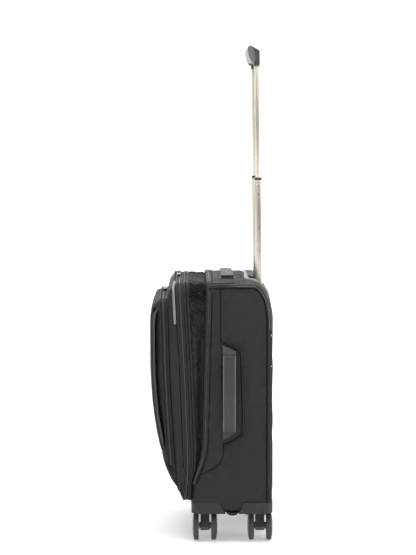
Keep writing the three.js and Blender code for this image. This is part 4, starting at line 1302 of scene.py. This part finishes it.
def strap_rows(half, place):
    """The padded strap, thick in the middle, with a bound lip and a blunt step at each end."""
    ends = half - np.array([-0.1, 0.4, 2, 5])
    rows = []
    for a in np.concatenate([-ends, np.linspace(9 - half, half - 9, 40), ends[::-1]]):
        end = abs(a) > half
        w = (STRAP_WIDTH / 2 - 0.2) * (0.97 if end else 1.0)
        lip = 0.9 * math.exp(-(((half - 3.2 - abs(a)) / 1.6) ** 2))
        t = 1.4 if end else strap_thickness(half, a) + lip
        low = STRAP_UNDER + (1.6 if end else 0.0)
        right = [
            (w * 0.35, t), (w - 5.4, 0.97 * t), (w - 4.6, 0.84 * t), (w - 3.9, 0.90 * t),
            (w - 0.6, 0.46 * t), (w, 0.3 * t), (w - 0.2, 0.2), (w - 1.2, 0),
        ]
        rows.append([place(a, y, low + z) for y, z in [(-y, z) for y, z in right[::-1]] + right])
    return np.array(rows)


def strap(name, half, tab_x, place, body, replaced, material, edge_material):
    """A padded strap with two flat tabs, made lying along X with Z = 0 on the panel, then placed."""
    pts = strap_rows(half, place)
    count, n = pts.shape[:2]
    faces = grid_faces(count, n, True) + [tuple(range(n)), tuple(range((count - 1) * n, count * n))]
    verts = list(pts.reshape(-1, 3))
    for s in (-1, 1):
        base = len(verts)
        for z in (-20.0, -19.4, 0.0, STRAP_UNDER + 0.5):
            verts += [place(s * tab_x + x, y, z) for x, y in TAB_SECTION]
        faces += grid_faces(4, 8, True, base)
        faces += [tuple(range(base, base + 8)), tuple(range(base + 24, base + 32))]
    ob = build(name, verts, faces, material, body, slot="trim_grey", level=1)
    ripple(ob, 0.12, 1.0, 18, 5)
    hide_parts(replaced)
    at_panel, runs = np.array(place(0, 0, 0)), []
    for s, letter in ((-1, "a"), (1, "b")):
        def along(ends, count, inset, height):
            lengths = np.linspace(ends - half, half - ends, count)
            across = s * (STRAP_WIDTH / 2 - inset)
            lifts = [STRAP_UNDER + height * strap_thickness(half, a) for a in lengths]
            return np.array([place(a, across, lift) for a, lift in zip(lengths, lifts)])

        runs.append((along(5, 60, 3.6, 0.84), same(np.array(place(0, 0, 1.0)) - at_panel, 60)))
        path, out = along(0.6, 70, 1.9, 0.66), same(np.array(place(0, s * 0.8, 0.6)) - at_panel, 70)
        # For the side handle these edge strips take a lighter material: a painted highlight along the strap's
        # bevelled edges.
        edge = sweep(name + "_edge_" + letter, path, out, oval(4.4, 1.8, 10), edge_material, body)
    stitches(name + "_stitches", runs, body, length=2.6, width=0.55)


strap(
    "top_handle_cover", 96, 88, lambda x, y, z: (x, 34 + y, TOP + z),
    "top_handle", "top_handle_strap", "top_handle", "top_handle",
)
# The side handle's edge strips take a lighter material, a painted highlight on its edges.
strap(
    "side_handle_cover", 80, 68, lambda x, y, z: (HALF + z, 36.5 + y, 318 - x),
    "side_handle", "side_handle_strap", "handle", "handle_edge",
)

# ---------------------------------------------------------------- trolley

TUBE_X, TUBE_Y, TUBE_Z = 82.5, 102.6, 540.0
LEAN = math.atan2(-0.014486, 0.999895)
LOCK_PINS, STOP_HOLES = (208, 191), {"right": (120, 71), "left": (171, 120, 71)}


def on_tube(x, y, z):
    """A place in the trolley's frame, Z along the tubes, as a place on the bag."""
    c, s = math.cos(LEAN), math.sin(LEAN)
    return (x, TUBE_Y + y * c + z * s, TUBE_Z - y * s + z * c)


def tube_section(w, d, r, groove=0.0):
    """A rounded rectangle, with a shallow groove along the middle of each face."""
    a, b = w / 2, d / 2
    corners = [turn(sx * (a - r), sy * (b - r), r, r, start, 15, 7)
               for sx, sy, start in ((1, 1, 0), (-1, 1, 90), (-1, -1, 180), (1, -1, 270))]
    if not groove:
        return np.array(sum(corners, []))
    grooves = (
        [(2.0, b), (1.4, b - groove), (-1.4, b - groove), (-2.0, b)],
        [(-a, 1.3), (groove - a, 0.8), (groove - a, -0.8), (-a, -1.3)],
        [(-2.0, -b), (-1.4, groove - b), (1.4, groove - b), (2.0, -b)],
        [(a, -1.3), (a - groove, -0.8), (a - groove, 0.8), (a, 1.3)],
    )
    return np.array(sum([corner + dip for corner, dip in zip(corners, grooves)], []))


def tube(name, x, z0, z1, w, d, r, wall, body, replaced, groove=0.5):
    """A drawn tube, open at both ends."""
    outer = tube_section(w, d, r, groove)
    inner = tube_section(w - 2 * wall, d - 2 * wall, r - wall * 0.7, groove)
    sections = (
        (inner, z1 - 0.3), (outer * 0.985, z1), (outer, z1 - 0.4), (outer, (z0 + z1) / 2),
        (outer, z0 + 0.4), (outer * 0.985, z0), (inner, z0 + 0.3), (inner, z1 - 0.3),
    )
    rows = [[on_tube(x + a, b, z) for a, b in ring] for ring, z in sections]
    ob = grid(name, rows, "tube", body, loop=True)
    split_edges(ob, 40)
    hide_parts(replaced)


def dark_disc(name, x, z, radius):
    """A small round hole or pin in a tube's outer face, facing +X, only a shallow dish; its near-black colour
    is painted shade for the depth of the hole.
    """
    rows = []
    profile = ((radius, -0.6), (radius, 0.05), (radius * 0.8, 0.12), (radius * 0.72, -0.25), (0.001, -0.3))
    for r, dx in profile:
        rows.append([on_tube(x + dx, y, z + dz) for y, dz in turn(0, 0, r, r, 0, 18, 20)])
    grid(name, rows, "hole", "handle_middle_stage", loop=True)


def trolley_side(side, hand):
    x = side * TUBE_X
    middle, upper = "middle_tube_" + hand, "inner_tube_" + hand
    tube("middle_stage_tube_" + hand, x, -100, 221, 22, 15, 4.5, 1.5, "handle_middle_stage", middle)
    tube("upper_stage_tube_" + hand, x, 120, 461, 18, 11, 3.6, 1.2, "handle_upper_stage", upper, 0.4)
    for k, z in enumerate(LOCK_PINS):
        dark_disc("lock_pin_%s_%d" % (hand, k), x + 11, z, 1.5)
    for k, z in enumerate(STOP_HOLES[hand]):
        dark_disc("stop_hole_%s_%d" % (hand, k), x + 11, z, 1.1)
    ring = tube_section(18.5, 11.5, 3.8)
    levels = ((1.0, 461.3), (1.02, 461.4), (1.02, 462.5), (1.0, 462.6))
    rows = [[on_tube(x + a * k, b * k, z) for a, b in ring] for k, z in levels]
    grid("ferrule_" + hand, rows, "steel", "handle_upper_stage", loop=True, slot="tube_metal")


GRIP_LEAF = curve_through([
    (-9.5, 469.5), (-15.5, 480), (-18.3, 492), (-18.0, 500), (-14.5, 504.3), (-10.5, 503.5),
    (-7.0, 498), (-4.2, 487), (-3.4, 477), (-5.2, 470.5), (-9.5, 469.5),
], 1.2)[:-1]


def grip_facet(side, hand):
    """The stippled facet on each end of the grip's bar."""
    middle, rows = GRIP_LEAF.mean(0), []
    for k, out in ((1.0, -1.5), (1.0, 0.35), (0.94, 0.8), (0.7, 1.0), (0.4, 0.9), (0.02, 0.85)):
        ring = middle + (GRIP_LEAF - middle) * k
        rows.append([on_tube(side * (97.6 + out), y, z) for y, z in ring])
    grid("grip_facet_" + hand, rows, "stipple", "handle_upper_stage", loop=True)


for side, hand in SIDES[::-1]:
    trolley_side(side, hand)
    grip_facet(side, hand)

# ---------------------------------------------------------------- trolley cup

CUP_HALF, CUP_MIDDLE, CUP_ROUND, CUP_FLOOR = 117.0, 97.0, 21.0, 497.0
TURN = slice(TOP_END - 8, TOP_END + 34)  # the outline's rows over the rear top corner
TURN_CROWN = np.concatenate([TOP_CROWN[-8:], BACK_CROWN[:34]])
CUP_LIP = ((7.0, 10.0), (6.6, 8.6), (4.1, 3.6))  # how far in and how deep, on the rim's inner side
CUP_RIM = ((-1.6, 0.6), (-1.0, 2.4), (0.4, 3.3), (2.0, 3.0), (5.0, 1.5), (6.8, 0.3), (7.0, -2.5))
SOCKET = (25.2, 18.4, 4.5)  # width, depth and corner of the hole round each tube


def cup_loop():
    """A stadium in X and Y, and its outward directions."""
    end, pts, out = CUP_HALF - CUP_ROUND, [], []
    for sign, start in ((1, -90), (-1, 90)):
        pts += turn(sign * end, CUP_MIDDLE, CUP_ROUND, CUP_ROUND, start, 6, 31)
        out += turn(0, 0, 1, 1, start, 6, 31)
        straight = np.linspace(1, -1, 30)[1:-1] * sign * end
        pts += [(x, CUP_MIDDLE + sign * CUP_ROUND) for x in straight]
        out += [(0, sign)] * len(straight)
    return np.array(pts), np.array(out)


def by_cup(x, y):
    """The cloth's surface over the rear top corner: its place, its normal, and its direction backwards."""
    line, n = OUTLINE[TURN], OUT_NORMAL[TURN]
    at = np.minimum(y, 124)
    ny, nz = np.interp(at, line[:, 0], n[:, 0]), np.interp(at, line[:, 0], n[:, 1])
    size = np.hypot(ny, nz)
    ny, nz = ny / size, nz / size
    lift = np.interp(at, line[:, 0], TURN_CROWN) * np.clip(1 - (x / 150) ** 2, 0, 1)
    zero = np.zeros(len(x))
    z = np.interp(at, line[:, 0], line[:, 1])
    place = np.column_stack([x, at + ny * lift, z + nz * lift])
    return place, np.column_stack([zero, ny, nz]), np.column_stack([zero, nz, -ny])


def reach(outline, centre, angles):
    """Points of a closed outline seen from centre at each angle."""
    edge, q = np.roll(outline, -1, 0) - outline, outline - centre
    pts = []
    for a in angles:
        dx, dy = math.cos(a), math.sin(a)
        cross = dx * edge[:, 1] - dy * edge[:, 0]
        cross[cross == 0] = 1e-9
        t = (q[:, 0] * edge[:, 1] - q[:, 1] * edge[:, 0]) / cross
        u = (q[:, 0] * dy - q[:, 1] * dx) / cross
        t = t[(u >= -1e-6) & (u <= 1 + 1e-6) & (t > 0)].min()
        pts.append((centre[0] + t * dx, centre[1] + t * dy))
    return np.array(pts)


def cup_floor(side, hand, outline):
    """Half of the cup's floor, with a raised socket round its tube; its near-black colour is painted shade.
    """
    centre, angles = np.array([side * TUBE_X, 103.2]), np.radians(np.arange(0, 360, 5))
    half = outline.copy()
    half[:, 0] = side * np.maximum(side * half[:, 0], -0.2)
    far, near = reach(half, centre, angles), reach(tube_section(*SOCKET) + centre, centre, angles)
    levels = ((0, 0.2), (0.5, 0.0), (0.9, 0.0), (0.97, 1.0), (1, 1.0), (1, -3.5))
    rows = [np.column_stack([far * (1 - v) + near * v, np.full(72, CUP_FLOOR + z)]) for v, z in levels]
    grid("trolley_cup_floor_" + hand, rows, "cup", "case", loop=True)


def trolley_cup():
    """A broad moulded rim laid on the bag's rounded edge, and the inside of the cup, its near-black colour
    painted shade for the cup's depth.
    """
    pts, out = cup_loop()
    place, normal, back = by_cup(pts[:, 0], pts[:, 1])
    away = out[:, :1] * (1, 0, 0) + out[:, 1:] * back
    funnel = np.clip((114 - pts[:, 1]) / 20, 0, 1)[:, None]  # the inside slopes, except behind the tubes

    def inside(at_rear, at_front, deep):
        return place - (at_rear + (at_front - at_rear) * funnel) * away - deep * normal

    rows = [inside(1.6, far, deep) for far, deep in CUP_LIP]
    rows += [place + grow * away + lift * normal for grow, lift in CUP_RIM]
    rim_ob = grid("trolley_cup_rim", rows, "bezel", "case", loop=True, level=1)
    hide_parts("trolley_cup")
    # The inside walls and floors are near-black: painted shade deeper in the cup.
    rows = [inside(1.2, 4.8, 8.0), inside(1.2, 3.6, 10.2)]
    for shrink, slope, z in ((1.8, 1.6, 526.0), (2.0, 1.6, 506.0), (2.2, 1.6, 500.0), (3.4, 2.4, 497.4)):
        rows.append(np.column_stack([pts - out * (shrink + slope * funnel), np.full(len(pts), z)]))
    grid("trolley_cup_inside", rows, "cup", "case", loop=True)
    for side, hand in SIDES:
        cup_floor(side, hand, rows[-1][:, :2] + out * 0.6)


trolley_cup()

# ---------------------------------------------------------------- casters

SWIVELS = {
    "front_right": (118, -14), "front_left": (-118, -14),
    "rear_right": (118, 102.5), "rear_left": (-118, 102.5),
}
TRAIL, WHEEL_OUT, AXLE_HEIGHT = 15, 13.2, 30
RUBBER = [  # radius, width
    (25.8, 0.5), (27.2, 0.1), (28.6, 0.3), (29.6, 1.1), (30.0, 2.4), (30.0, 5.2),
    (30.0, 8.0), (29.6, 9.4), (28.8, 10.3), (27.6, 10.7), (26.4, 10.4), (25.8, 9.6),
]
COVER = [
    (3.2, 0.3), (7.4, 0.3), (8.2, 1.3), (12, 1.6), (22, 1.6), (24.6, 1.0), (25.9, 0.3), (26.0, 5.0),
    (26.0, 9.8), (25.4, 10.7), (23.5, 11.5), (19.5, 12.4), (14, 12.9), (8, 13.15), (4.4, 13.2),
    (3.6, 12.6), (3.2, 11.2),
]


def lathe(name, profile, centre, out, material, body, petals=0.0, ribs=0.0):
    """Turns (radius, width) round the axle through centre; out is the side the domed face is on.
    petals is the depth of six dips in both faces, ribs the depth of the tread's grooves."""
    rows = []
    for r, w in profile + profile[:1]:
        row = []
        for k in range(96):
            a = math.radians(3.75 * k)
            on_face = w > 11.8 or 1.5 < w < 1.7
            petal = petals * max(0.0, math.cos(6 * a)) ** 0.5
            dip = petal * math.exp(-(((r - 17) / 6) ** 2)) if on_face else 0.0
            rr = r - (ribs if r > 29.5 and k % 3 == 0 else 0)
            face = w - dip if w > 6 else w + dip
            row.append((centre[0] + rr * math.cos(a), centre[1] + out * face, centre[2] + rr * math.sin(a)))
        rows.append(row)
    ob = grid(name, rows, material, body, loop=True)
    split_edges(ob, 50)
    return ob


for corner, (x, y) in SWIVELS.items():
    for label, out in (("a", -1), ("b", 1)):
        centre, place = (x + TRAIL, y + out * WHEEL_OUT, AXLE_HEIGHT), "_%s_%s" % (corner, label)
        tyre = lathe("tyre" + place, RUBBER, centre, out, "tread", "wheel" + place, ribs=0.35)
        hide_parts("wheel" + place)
        lathe("wheel_cover" + place, COVER, centre, out, "wheel", "wheel" + place, petals=0.7)

# ---------------------------------------------------------------- small parts on the case

SKID_MIDDLE, SKID_HALF, SKID_TOP, SKID_DEEP = 43.5, 13.6, 67, 9.2
RIVET_FACE = HALF - EDGE * (1 - math.sqrt(0.5)) + 1.0
RIVET = ((1.8, -1.0), (1.8, 0.3), (1.5, 0.7), (0.9, 1.0), (0.01, 1.1))  # radius, height


def base_skid():
    """A padded skid under the base, between the wheel housings, covered in the case's cloth."""
    rows = []
    end = np.array([168.5, 170.5, 171.5, 172])
    for x in np.concatenate([-end[::-1], np.linspace(-165, 165, 62), end]):
        k = min(1.0, math.sqrt(max(0.02, (172.1 - abs(x)) / 3.5)))
        section = turn(SKID_MIDDLE, SKID_TOP, SKID_HALF * (0.85 + 0.15 * k), SKID_DEEP * k, 180, 15, 13)
        rows.append([(x, y, z) for y, z in section])
    skid = grid("base_skid", rows, "shell", "case", level=1)
    ripple(skid, 0.3, 1.0, 20, 44)


def rivet(side, hand, z):
    """A small rivet on the rear edge."""
    c = np.array([side * RIVET_FACE, BACK - EDGE * (1 - math.sqrt(0.5)) + 1.2, z])
    n = np.array([side * 0.5, 0.866, 0])
    across = np.cross(n, [0, 0, 1.0])
    rows = []
    for r, h in RIVET:
        rows.append([c + n * h + np.array([0, 0, u]) + across * v for u, v in turn(0, 0, r, r, 0, 20, 18)])
    grid("rivet_%s_%d" % (hand, z), rows, "steel", "case", loop=True, slot="steel")


base_skid()
path, normals = arch_3d(rim_middle, 2.3)
sweep("expansion_zip_coil", path, normals, oval(2.4, 1.6), "coil", "case")
for side, hand in SIDES[::-1]:
    for z in (374.0, 439.0):
        rivet(side, hand, z)

# ---------------------------------------------------------------- parts that keep their CAD shape


def named(start, ends):
    return [start + end for end in ends]


HANDS = ("left", "right")
ZIPS = ("main_zip_a", "main_zip_b", "pocket_zip", "expansion_zip")
KEPT = {  # material, rounding of the edges, pieces
    "trim": (1.2, ["grip", "release_button", "side_handle_bracket_upper"]),
    "housing": (1.2, named("wheel_housing_", SWIVELS)),
    "black": (0.6, ["trolley_foot"] + named("tube_collar_", HANDS) + named("top_handle_bracket_", HANDS)),
    "low_bracket": (1.0, ["side_handle_bracket_lower"]),
    "fork": (0.8, named("caster_fork_", SWIVELS)),
    "steel": (0.3, named("guide_tube_", HANDS) + named("caster_axle_", SWIVELS)),
    "zip": (0.4, [z + part for z in ZIPS for part in ("_slider", "_pull")]),
}


def finish_node(node, material, rounding):
    node.data.materials.clear()
    node.data.materials.append(material)
    node.data.polygons.foreach_set("use_smooth", [True] * len(node.data.polygons))
    bevel = node.modifiers.new("round", "BEVEL")
    bevel.width = rounding * MM
    bevel.segments = 3
    bevel.limit_method = "ANGLE"
    bevel.angle_limit = math.radians(32)
    bevel.harden_normals = False
    node.modifiers.new("weighted", "WEIGHTED_NORMAL").keep_sharp = False


for key, (rounding, pieces) in KEPT.items():
    for piece in pieces:
        finish_node(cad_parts[piece], MAT[key], rounding)
